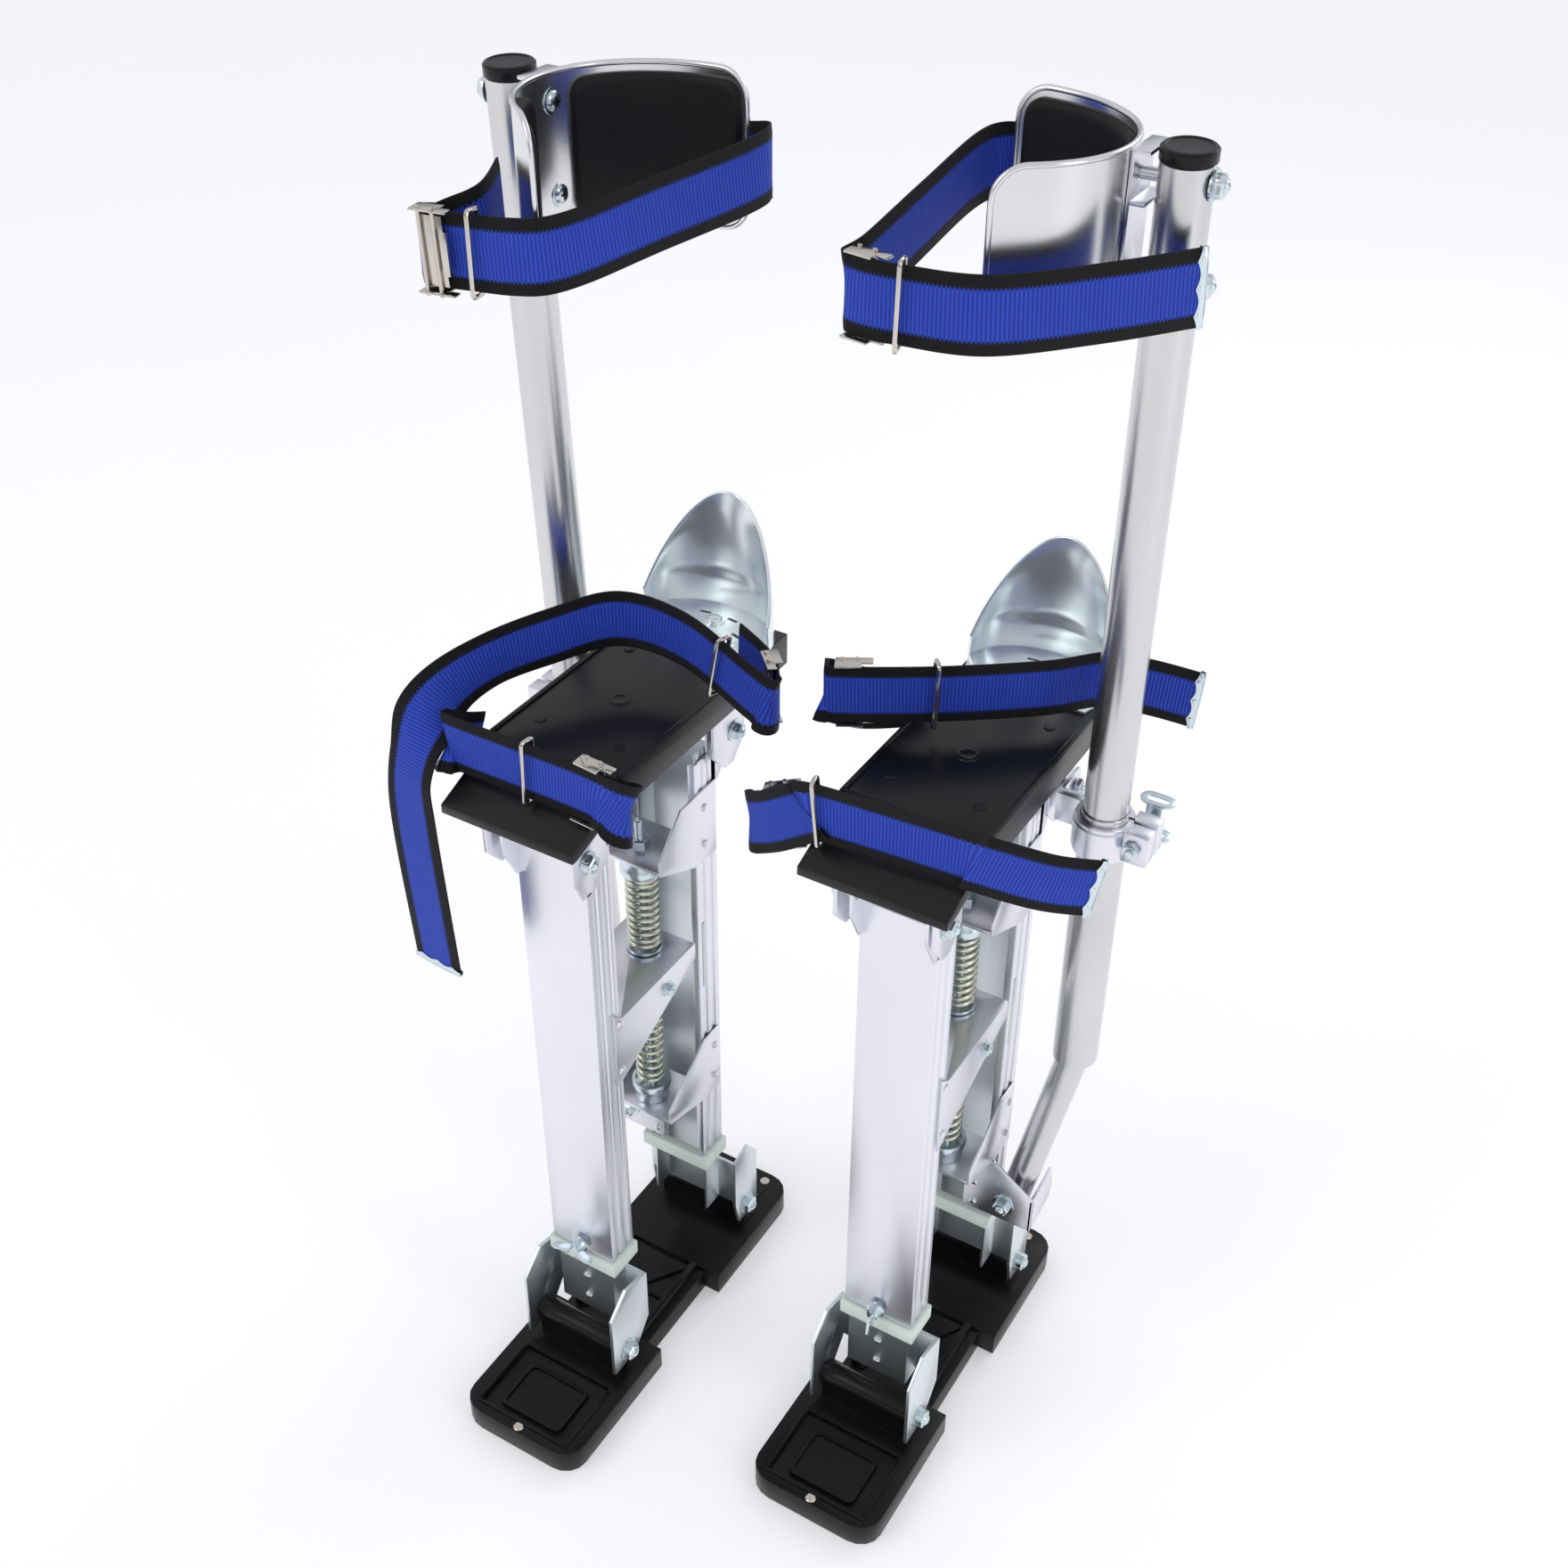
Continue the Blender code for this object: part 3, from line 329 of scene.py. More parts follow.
def make_finishes(scene):
    colours, sizes = scene.stilt_colours, scene.stilt_sizes
    FINISHES.update({
        "anodised_aluminium": metal("anodised_aluminium", colours.aluminium, 0.34, 0.1, (900, 900, 7)),
        "satin_plate": metal("satin_plate", shade(colours.aluminium, 0.95), 0.3, 0.12, (60, 60, 60)),
        "foot_steel": metal("foot_steel", shade(colours.steel, 0.98), 0.36, 0.12, (700, 700, 9), 0.02, 0.1),
        "polished_aluminium": metal("polished_aluminium", shade(colours.polished, 0.85), 0.27, 0.04,
                                    (1100, 1100, 5), 0.007),
        "cuff_aluminium": metal("cuff_aluminium", colours.polished, 0.24, 0.08, (14, 14, 1300)),
        "galvanised_steel": metal("galvanised_steel", shade(colours.steel, 1.1), 0.22, 0.06,
                                  (90, 90, 90), 0.01, 0.08, 0.75),
        "zinc_plated_steel": metal("zinc_plated_steel", colours.zinc, 0.24, 0.14, (500, 500, 500), 0.03),
        "spring_wire": metal("spring_wire", colours.spring, 0.26, 0.12, (700, 700, 700), 0.03),
        "nickel": metal("nickel", colours.nickel, 0.16, 0.08, (300, 300, 300), 0.02),
        "black_plastic": moulded("black_plastic", colours.plastic, 0.3, 1500.0, 0.024),
        "deck_plastic": moulded("deck_plastic", colours.plastic, 0.33, 1100.0, 0.03, 0.34),
        "pad_rubber": moulded("pad_rubber", colours.rubber, 0.52, 2300.0, 0.05),
        "nylon": nylon_finish(colours.nylon),
        "blue_webbing": webbing_finish(colours.webbing, colours.webbing_edge, sizes.rib_pitch,
                                       sizes.edge_band),
    })


FINISHES = {}


# ---- layout and shapes
def put(item):
    bpy.context.scene.collection.objects.link(item)


def tall(point):
    """Station of the layout moved to its place on the stilt."""
    return Vector((point[0], point[1] * DEPTH_SCALE, point[2] * HEIGHT_SCALE))


def stand(label, spot):
    side, (x, y) = STANDS[label]
    return Vector((side * spot[0] + x, spot[1] + y, spot[2]))


def leg_point(z):
    drop = LEG_TOP[2] - z
    return (LEG_TOP[0] - drop * LEG_SLOPE[0], LEG_TOP[1] - drop * LEG_SLOPE[1], z)


def leg_axis():
    return (tall(leg_point(0.88)) - tall(leg_point(0.4))).normalized()


def leg_spot(z):
    return tall(leg_point(z))


def rounded(part, edges, soft):
    bmesh.ops.bevel(part, geom=edges, offset=soft, segments=2, profile=0.5, affect="EDGES",
        clamp_overlap=True)


class Shape:
    """Closed bodies gathered into one piece of one stilt."""

    def __init__(self, label):
        self.label = label
        self.mesh = bmesh.new()
        self.mesh.loops.layers.uv.new("UVMap")

    def body(self, verts, faces, soft=0.0, cutters=(), uvs=None):
        part = bmesh.new()
        layer = part.loops.layers.uv.new("UVMap")
        made = [part.verts.new(stand(self.label, v)) for v in verts]
        for face in faces:
            new = part.faces.new([made[i] for i in face])
            if uvs:
                for loop, i in zip(new.loops, face):
                    loop[layer].uv = uvs[i]
        bmesh.ops.remove_doubles(part, verts=part.verts, dist=1e-7)
        bmesh.ops.recalc_face_normals(part, faces=part.faces)
        if soft:
            edges = [e for e in part.edges if e.is_manifold and e.calc_face_angle(0) > math.radians(28)]
            rounded(part, edges, soft)
        store = bpy.data.meshes.new("part")
        part.to_mesh(store)
        part.free()
        if cutters:
            store = carved(store, cutters, self.label)
        self.mesh.from_mesh(store)
        return self

    def done(self, name, finish, body, node=None, sharp=32):
        """Set the piece in the scene, on the body it moves with."""
        store = bpy.data.meshes.new(name)
        self.mesh.to_mesh(store)
        self.mesh.free()
        return settle(store, self.label + "_" + name, finish, self.label + "_" + body,
            self.label + "_" + node if node else None, sharp)


def settle(store, name, finish, body, node=None, sharp=32):
    store.materials.clear()
    store.materials.append(FINISHES[finish])
    store.shade_smooth()
    store.set_sharp_from_angle(angle=math.radians(sharp))
    piece = bpy.data.objects.new(name, store)
    put(piece)
    if body:
        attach(piece, body)
    if node:
        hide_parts(node)
    return piece


def applied(work, tools=()):
    """The mesh that an object's modifiers make; the object and its tools are removed."""
    bpy.context.view_layer.update()
    out = bpy.data.meshes.new_from_object(work.evaluated_get(bpy.context.evaluated_depsgraph_get()))
    for item in (*tools, work):
        bpy.data.objects.remove(item, do_unlink=True)
    return out


def carved(store, cutters, label):
    """A mesh less its cutters, each a (verts, faces) pair."""
    work = bpy.data.objects.new("work", store)
    put(work)
    tools = []
    for verts, faces in cutters:
        solid = bmesh.new()
        made = [solid.verts.new(stand(label, v)) for v in verts]
        for face in faces:
            solid.faces.new([made[i] for i in face])
        bmesh.ops.recalc_face_normals(solid, faces=solid.faces)
        mesh = bpy.data.meshes.new("tool")
        solid.to_mesh(mesh)
        solid.free()
        tool = bpy.data.objects.new("tool", mesh)
        put(tool)
        step = work.modifiers.new("step", "BOOLEAN")
        step.operation = "DIFFERENCE"
        step.solver = "EXACT"
        step.object = tool
        tools.append(tool)
    return applied(work, tools)


def refined(label, node, finish, body, soft):
    """The solid's own shape with its loose triangles joined and its edges rounded."""
    full = label + "_" + node
    part = bmesh.new()
    part.from_mesh(bpy.data.objects[full].data)
    bmesh.ops.remove_doubles(part, verts=part.verts, dist=2e-6)
    bmesh.ops.dissolve_limit(part, angle_limit=math.radians(1.2), verts=part.verts, edges=part.edges)
    edges = [e for e in part.edges if e.is_manifold and e.calc_face_angle(0) > math.radians(38)]
    rounded(part, edges, soft)
    store = bpy.data.meshes.new(full)
    part.to_mesh(store)
    part.free()
    for layer in list(store.uv_layers):
        store.uv_layers.remove(layer)
    return settle(store, full, finish, label + "_" + body, full)


def prism_faces(count):
    """Faces of a prism: its first ring of points, then its second."""
    faces = [tuple(range(count)), tuple(reversed(range(count, 2 * count)))]
    return faces + [(i, i + count, (i + 1) % count + count, (i + 1) % count) for i in range(count)]


def ring_faces(rings, sides, closed=False):
    """Faces between rings of points, capped unless the last ring meets the first."""
    faces = []
    for k in range(rings if closed else rings - 1):
        low, high = k * sides, ((k + 1) % rings) * sides
        faces += [(low + i, low + (i + 1) % sides, high + (i + 1) % sides, high + i) for i in range(sides)]
    if not closed:
        faces += [tuple(reversed(range(sides))), tuple(range((rings - 1) * sides, rings * sides))]
    return faces


def plate(outline, axis, low, high):
    """Flat piece: a closed outline in the layout carried along x, y or z."""
    count = len(outline)
    verts = []
    for level in (low, high):
        for a, b in outline:
            verts.append(tall({"x": (level, a, b), "y": (a, level, b), "z": (a, b, level)}[axis]))
    return verts, prism_faces(count)


def block(x0, x1, y0, y1, z0, z1):
    return plate([(x0, y0), (x1, y0), (x1, y1), (x0, y1)], "z", z0, z1)


def turned(start, way, profile, sides=32, hollow=False):
    """Lathe work: (distance, radius) pairs spun round a line; hollow closes the profile on itself."""
    way = Vector(way).normalized()
    side = way.orthogonal().normalized()
    if abs(way.z) > 0.9:
        side = (Vector((1, 0, 0)) - way * way.x).normalized()
    other = way.cross(side)
    verts = []
    for along, radius in profile:
        for i in range(sides):
            turn = 2 * math.pi * (i + 0.5) / sides
            verts.append(start + way * along + (side * math.cos(turn) + other * math.sin(turn)) * radius)
    return verts, ring_faces(len(profile), sides, hollow)


def rounded_profile(length, radius, edge):
    """Solid round bar with rounded ends."""
    points = [(0.0, radius - edge), (edge * 0.3, radius - edge * 0.3), (edge, radius)]
    return points + [(length - edge, radius), (length - edge * 0.3, radius - edge * 0.3),
        (length, radius - edge)]


def swept(spots, radius, sides=16, closed=False):
    """Round bar through tall points. radius is a number, or one for each point."""
    count = len(spots)
    verts = []
    side = None
    for k, spot in enumerate(spots):
        before = spots[(k - 1) % count] if closed else spots[max(k - 1, 0)]
        after = spots[(k + 1) % count] if closed else spots[min(k + 1, count - 1)]
        way = (after - before).normalized()
        side = way.orthogonal() if side is None else side - way * side.dot(way)
        side = side.normalized()
        other = way.cross(side)
        size = radius[k] if isinstance(radius, list) else radius
        for i in range(sides):
            turn = 2 * math.pi * i / sides
            verts.append(spot + (side * math.cos(turn) + other * math.sin(turn)) * size)
    return verts, ring_faces(count, sides, closed)


def smooth_run(points, per=8):
    """Points on a smooth curve through tall points."""
    out = []
    for k in range(len(points) - 1):
        a, b = points[max(k - 1, 0)], points[k]
        c, d = points[k + 1], points[min(k + 2, len(points) - 1)]
        for i in range(per):
            t = i / per
            out.append(0.5 * ((2 * b) + (c - a) * t + (2 * a - 5 * b + 4 * c - d) * t * t
                + (3 * b - a - 3 * c + d) * t ** 3))
    out.append(points[-1].copy())
    return out


# ---- repeated fasteners
KINDS = {
    "rivet": (0.0, 0.0, 24, 0.0036, 0.0007, 0.0031, 0.0013),
    "nut": (0.0092, 0.0012, 6, 0.007, 0.005, 0.004, 0.0034),
    "small_nut": (0.0068, 0.001, 6, 0.0052, 0.0036, 0.0026, 0.0022),
    "acorn": (0.0098, 0.0012, 6, 0.0077, 0.0052, 0.0052, 0.0036),
    "dome": (0.0, 0.0, 16, 0.0046, 0.0008, 0.004, 0.003),
    "pan_screw": (0.0086, 0.001, 28, 0.0062, 0.0009, 0.0056, 0.0016),
    "dark_screw": (0.0, 0.0, 24, 0.0044, 0.0004, 0.0026, 0.0007),
}
FASTENER_SIZES = ("Washer Radius", "Washer Height", "Head Sides", "Head Radius", "Head Height", "Tip Radius",
    "Tip Height")


def fastener_tree():
    """Washer, head and tip set at every point, each turned along the point's axis."""
    tree = bpy.data.node_groups.new("fasteners", "GeometryNodeTree")
    face = tree.interface
    face.new_socket("Geometry", in_out="INPUT", socket_type="NodeSocketGeometry")
    for name, default in zip(FASTENER_SIZES, KINDS["nut"]):
        kind = "NodeSocketInt" if isinstance(default, int) else "NodeSocketFloat"
        face.new_socket(name, in_out="INPUT", socket_type=kind).default_value = default
    face.new_socket("Finish", in_out="INPUT", socket_type="NodeSocketMaterial")
    face.new_socket("Geometry", in_out="OUTPUT", socket_type="NodeSocketGeometry")
    graph = Graph(tree)
    points = graph.node("NodeGroupInput")
    washer_r, washer_h, sides, head_r, head_h, tip_r, tip_h = (points.sister(name) for name in FASTENER_SIZES)

    def raised(mesh, height):
        lift = graph.node("ShaderNodeCombineXYZ", Z=height)
        return graph.node("GeometryNodeTransform", Geometry=mesh, Translation=lift)

    top = washer_h + head_h
    washer = graph.node("GeometryNodeMeshCylinder", Vertices=24, Radius=washer_r, Depth=washer_h)
    head = graph.node("GeometryNodeMeshCylinder", Vertices=sides, Radius=head_r, Depth=head_h)
    crown = graph.node("GeometryNodeMeshCone", Vertices=sides, Radius_Top=head_r * 0.82, Radius_Bottom=head_r,
        Depth=head_r * 0.14)
    ball = graph.node("GeometryNodeMeshUVSphere", Segments=20, Rings=12, Radius=1.0)
    ball = graph.node("GeometryNodeTransform", Geometry=ball, Scale=graph.node("ShaderNodeCombineXYZ",
        X=tip_r, Y=tip_r, Z=tip_h))
    one = graph.node("GeometryNodeJoinGeometry")
    for mesh in (raised(washer, washer_h * 0.5), raised(head, top - head_h * 0.5), raised(crown, top),
            raised(ball, top)):
        tree.links.new(mesh.socket, one.socket.node.inputs[0])
    axis = graph.node("GeometryNodeInputNamedAttribute", {"data_type": "FLOAT_VECTOR"}, Name="axis")
    turn = graph.node("FunctionNodeAlignRotationToVector", {"axis": "Z"}, Vector=axis)
    placed = graph.node("GeometryNodeInstanceOnPoints", Points=points.sister("Geometry"), Instance=one,
        Rotation=turn)
    real = graph.node("GeometryNodeRealizeInstances", Geometry=placed)
    coated = graph.node("GeometryNodeSetMaterial", Geometry=real, Material=points.sister("Finish"))
    tree.links.new(coated.socket, tree.nodes.new("NodeGroupOutput").inputs[0])
    return tree


def fasteners(label, name, body, kind, spots, finish="zinc_plated_steel"):
    """Fasteners of one kind on one body; spots are (layout point, outward direction)."""
    tree = bpy.data.node_groups.get("fasteners") or fastener_tree()
    store = bpy.data.meshes.new("points")
    side = STANDS[label][0]
    store.from_pydata([stand(label, tall(spot)) for spot, _ in spots], [], [])
    axis = store.attributes.new("axis", "FLOAT_VECTOR", "POINT")
    for i, (_, way) in enumerate(spots):
        axis.data[i].vector = Vector((side * way[0], way[1], way[2])).normalized()
    work = bpy.data.objects.new("points", store)
    put(work)
    step = work.modifiers.new("fasteners", "NODES")
    step.node_group = tree
    sockets = {s.name: s.identifier for s in tree.interface.items_tree if s.in_out == "INPUT"}
    for title, value in zip(FASTENER_SIZES, KINDS[kind]):
        step[sockets[title]] = value
    step[sockets["Finish"]] = FINISHES[finish]
    out = applied(work)
    clean = bmesh.new()
    clean.from_mesh(out)
    flat = [f for f in clean.faces if f.calc_area() < 1e-12]
    bmesh.ops.delete(clean, geom=flat, context="FACES")
    clean.to_mesh(out)
    clean.free()
    return settle(out, label + "_" + name, finish, label + "_" + body, None, 30)


# ---- soles
def sole_pieces(label):
    sizes = bpy.context.scene.stilt_sizes
    refined(label, "sole", "black_plastic", "base", sizes.mould_round)
    ribs = Shape(label)
    for way in (-1, 1):
        a, b = (way * 0.027, -0.112), (-way * 0.027, -0.018)
        wide = 0.0016
        ribs.body(*plate([(a[0] - wide, a[1]), (a[0] + wide, a[1]), (b[0] + wide, b[1]), (b[0] - wide, b[1])],
            "z", 0.015, 0.019), 0.0004)
    ribs.body(*block(-0.0285, 0.0285, -0.0665, -0.0635, 0.015, 0.0188), 0.0004)
    for x in (-0.0465, 0.0435):
        ribs.body(*block(x, x + 0.003, -0.251, -0.184, 0.018, 0.0206), 0.0006)
    ribs.body(*block(-0.0465, 0.0465, -0.256, -0.253, 0.018, 0.0206), 0.0006)
    inner = rounded_frame(0.03, -0.244, -0.192, 0.006)
    ribs.body(*frame_shape(inner, 0.0035, 0.012, 0.0168), 0.0004)
    for x in (-0.04, 0.037):
        ribs.body(*block(x, x + 0.003, 0.086, 0.11, 0.018, 0.0206), 0.0006)
    ribs.done("sole_ribs", "black_plastic", "base")
    fasteners(label, "sole_screws", "base", "dark_screw", [((0, -0.259, 0.0192), (0, 0, 1)),
        ((0.034, 0.121, 0.0192), (0, 0, 1)), ((-0.034, 0.121, 0.0192), (0, 0, 1))], "nickel")


def rounded_frame(half_w, y0, y1, corner, steps=5):
    points = []
    for cx, cy, start in ((half_w - corner, y1 - corner, 0), (-half_w + corner, y1 - corner, 90),
            (-half_w + corner, y0 + corner, 180), (half_w - corner, y0 + corner, 270)):
        for k in range(steps + 1):
            turn = math.radians(start + 90 * k / steps)
            points.append((cx + corner * math.cos(turn), cy + corner * math.sin(turn)))
    return points


def frame_shape(outline, wide, z0, z1):
    """Raised frame that follows an outline."""
    count = len(outline)
    mid = (sum(p[0] for p in outline) / count, sum(p[1] for p in outline) / count)
    inner = []
    for x, y in outline:
        reach = math.hypot(x - mid[0], y - mid[1])
        inner.append((x - (x - mid[0]) / reach * wide, y - (y - mid[1]) / reach * wide))
    verts = [tall((x, y, z)) for z in (z0, z1) for ring in (outline, inner) for x, y in ring]
    faces = []
    for i in range(count):
        j = (i + 1) % count
        a, b, c, d = 0, count, 2 * count, 3 * count
        faces += [(a + i, a + j, c + j, c + i), (b + i, d + i, d + j, b + j), (a + i, b + i, b + j, a + j),
            (c + i, c + j, d + j, d + i)]
    return verts, faces


# ---- struts
def strut_outline(face_y, way):
    """Extruded section: web, two grooved sides and small inner lips, seen from above."""
    half = []
    w, t = STRUT_HALF_W, STRUT_WALL
    stations = [(0.0, 0.0), (0.0072, 0.0), (0.008, 0.0009), (0.0128, 0.0009), (0.0136, 0.0), (0.0198, 0.0),
        (0.0206, 0.0009), (0.0262, 0.0009), (0.027, 0.0), (STRUT_DEPTH, 0.0)]
    for depth, dip in stations:
        half.append((w - dip, face_y + way * depth))
    back = face_y + way * STRUT_DEPTH
    half += [(w - t - 0.0035, back), (w - t - 0.0035, back - way * t), (w - t, back - way * t),
        (w - t, face_y + way * t)]
    return half + [(-x, y) for x, y in reversed(half)]


def strut_piece(label, name, body, face_y, way, pivot_y, wing):
    shape = Shape(label)
    hole = turned(tall((0, face_y - 0.01, WING_Z)), (0, 1, 0), [(0, 0.0036), (0.02, 0.0036)], 24)
    shape.body(*plate(strut_outline(face_y, way), "z", STRUT_BOTTOM, STRUT_TOP - 0.02), 0.0004,
        [hole] if wing else ())
    out = math.copysign(1.0, pivot_y - face_y)
    tab = [(face_y - out * 0.012, STRUT_TOP - 0.045), (face_y + out * 0.004, STRUT_TOP - 0.045),
        (pivot_y + out * 0.01, STRUT_TOP - 0.022), (pivot_y + out * 0.01, STRUT_TOP),
        (face_y - out * 0.012, STRUT_TOP)]
    pin = turned(tall((-0.05, pivot_y, DECK_PIVOT_Z)), (1, 0, 0), [(0, PIN_CLEAR_R), (0.1, PIN_CLEAR_R)], 24)
    for side in (-1, 1):
        shape.body(*plate(tab, "x", *sorted((side * (STRUT_HALF_W - STRUT_WALL + 0.0001),
            side * STRUT_HALF_W))), 0.0004, [pin])
    shape.done(name, "anodised_aluminium", body, name)


def nylon_strip(label, name, body, x, y0, y1, z0, z1):
    shape = Shape(label)
    for side in (-1, 1):
        shape.body(*block(*sorted((side * (x - 0.0012), side * (x + 0.0001))), y0, y1, z0, z1), 0.0003)
    shape.done(name, "nylon", body)


def strut_pieces(label):
    edge = bpy.context.scene.stilt_sizes.edge_round
    strut_piece(label, "front_strut", "front_leg", FRONT_FACE, 1, FRONT_PIVOT_Y, True)
    strut_piece(label, "rear_strut", "rear_leg", REAR_FACE, -1, REAR_PIVOT_Y, False)
    for which in ("front", "rear"):
        refined(label, which + "_strut_foot", "foot_steel", which + "_foot", edge)
        refined(label, which + "_strut_collar", "nylon", which + "_leg", 0.0009)
    near = FRONT_FACE + 0.003
    fasteners(label, "front_foot_rivets", "front_foot", "rivet", [((0, near, z), (0, -1, 0))
        for z in (0.09, 0.068)], "polished_aluminium")
    for which, y in (("front", FRONT_PIVOT_Y), ("rear", REAR_PIVOT_Y)):
        fasteners(label, which + "_foot_nuts", which + "_foot", "acorn",
            [((side * 0.0456, y, SOLE_PIVOT_Z), (side, 0, 0)) for side in (-1, 1)])
    nylon_strip(label, "front_guide", "front_leg", STRUT_HALF_W, FRONT_FACE + 0.0206 + 0.0008,
        FRONT_FACE + 0.0262 - 0.0006, 0.288, 0.345)
    nylon_strip(label, "rear_guide", "rear_leg", STRUT_HALF_W, REAR_FACE - 0.0262 + 0.0006,
        REAR_FACE - 0.0206 - 0.0008, 0.288, 0.345)
    fasteners(label, "rear_strut_screw", "rear_leg", "small_nut", [((0.0, REAR_FACE, 0.16), (0, 1, 0))])


# ---- wing bolts
def wing_outline(low, high, reach, root, steps=10):
    """Half of a wing, round at its tip: (across, along) from the hub out."""
    points = [(root, low), (reach - (high - low) / 2, low)]
    mid = (low + high) / 2
    for k in range(1, steps):
        turn = math.radians(-90 + 180 * k / steps)
        points.append((reach - (high - low) / 2 + (high - low) / 2 * math.cos(turn),
            mid + (high - low) / 2 * math.sin(turn)))
    return points + [(reach - (high - low) / 2, high), (root * 0.8, high)]


def wing_pair(shape, hub, way, spread, thick, low, high, reach):
    """Two rounded wings on a hub; way runs along the bolt, spread towards the wings."""
    way, spread = Vector(way), Vector(spread)
    flat = way.cross(spread)
    for side in (-1, 1):
        outline = wing_outline(low, high, reach, 0.004)
        verts = []
        for level in (-1, 1):
            for across, along in outline:
                lean = 0.0035 * max(0.0, across / reach)
                verts.append(hub + spread * (side * across) + way * (along + lean)
                    + flat * (level * thick * (1 - 0.35 * across / reach)))
        shape.body(verts, prism_faces(len(outline)), 0.0005)


def folded_ears(shape, hub, way, spread):
    """Stamped wing nut: a base strip with two oval ears folded up from its ends, each with a slot."""
    way, spread = Vector(way), Vector(spread)
    across = way.cross(spread)
    apart, long, deep = 0.0148, 0.0132, 0.0076

    def oval(centre, half_long, half_deep, thick):
        verts = []
        for level in (-thick, thick):
            for k in range(28):
                turn = 2 * math.pi * (k + 0.5) / 28
                run = math.copysign(half_long - half_deep, math.cos(turn)) + half_deep * math.cos(turn)
                verts.append(centre + across * run + way * (half_deep * math.sin(turn)) + spread * level)
        return verts, prism_faces(28)

    for side in (-1, 1):
        centre = hub + spread * (side * apart) + way * deep
        shape.body(*oval(centre, long, deep, 0.0009), 0.0004, [oval(centre, 0.0086, 0.0032, 0.003)])
    strip = [hub + across * (a * 0.0058) + spread * (s * apart) + way * w for w in (0.0, 0.0018)
        for a, s in ((-1, -1), (1, -1), (1, 1), (-1, 1))]
    shape.body(strip, prism_faces(4), 0.0004)


def wing_pieces(label):
    upright = label == "left"
    shape = Shape(label)
    start = tall((0, FRONT_FACE, WING_Z))
    shape.body(*turned(start + Vector((0, 0.0018, 0)), (0, -1, 0), [(0, 0.003), (0.013, 0.003)], 20))
    shape.body(*turned(start + Vector((0, -0.0029, 0)), (0, -1, 0), [(0, 0.0074), (0.001, 0.0074),
        (0.0012, 0.0064), (0.0042, 0.0054), (0.0072, 0.005), (0.008, 0.004)], 28))
    wing_pair(shape, start + Vector((0, -0.007, 0)), (0, -1, 0), (0, 0, 1) if upright else (1, 0, 0), 0.0016,
        0.0005, 0.0082, 0.0192)
    shape.done("front_wing_bolt", "zinc_plated_steel", "front_wing", "front_wing_bolt")
    x, z = CLAMP_BOLT
    y = leg_point(z)[1]
    front, back = tall((x, y - 0.0138, z)), tall((x, y + 0.0208, z))
    shape = Shape(label)
    shape.body(*turned(front - Vector((0, 0.0078, 0)), (0, 1, 0), rounded_profile((back - front).length
        + 0.02, 0.0031, 0.0004), 20))
    shape.body(*turned(front - Vector((0, 0.0054, 0)), (0, 1, 0), [(0, 0.0058), (0.0006, 0.0069),
        (0.0053, 0.0069)], 6))
    shape.body(*turned(back + Vector((0, 0.0001, 0)), (0, 1, 0),
        [(0, 0.008), (0.001, 0.008), (0.0012, 0.0066), (0.006, 0.006), (0.01, 0.005)], 28))
    folded_ears(shape, back + Vector((0, 0.0062, 0)), (0, 1, 0), (0, 0, 1))
    shape.done("clamp_wing_bolt", "zinc_plated_steel", "clamp_wing", "clamp_wing_bolt")


# ---- spring pack
def coil_run(z0, z1, radius, wire, turns, dead=1.1, per=22):
    """Centre line of a spring with closed end coils."""
    low, high = tall((0, ROD_Y, z0)), tall((0, ROD_Y, z1))
    total = turns + 2 * dead
    clear = (high.z - low.z) - 2 * wire - 2 * dead * 2.05 * wire
    points = []
    steps = int(total * per)
    for k in range(steps + 1):
        turn = total * k / steps
        height = min(turn, dead) * 2.05 * wire + max(0.0, min(turn - dead, turns)) * clear / turns
        height += max(0.0, turn - dead - turns) * 2.05 * wire
        angle = 2 * math.pi * turn
        points.append(Vector((radius * math.cos(angle), low.y + radius * math.sin(angle),
            low.z + wire + height)))
    return points


def cup_profile(depth, radius):
    """Pressed spring cup: flange, wall and a shallow seat."""
    return [(0.0, 0.004), (0.0, radius * 0.8), (0.0014, radius * 0.86), (depth * 0.45, radius * 0.88),
        (depth * 0.55, radius * 0.97), (depth * 0.62, radius), (depth * 0.8, radius),
        (depth * 0.86, radius * 0.96), (depth * 0.86, radius * 0.8), (depth * 0.7, radius * 0.76),
        (depth * 0.7, 0.004)]


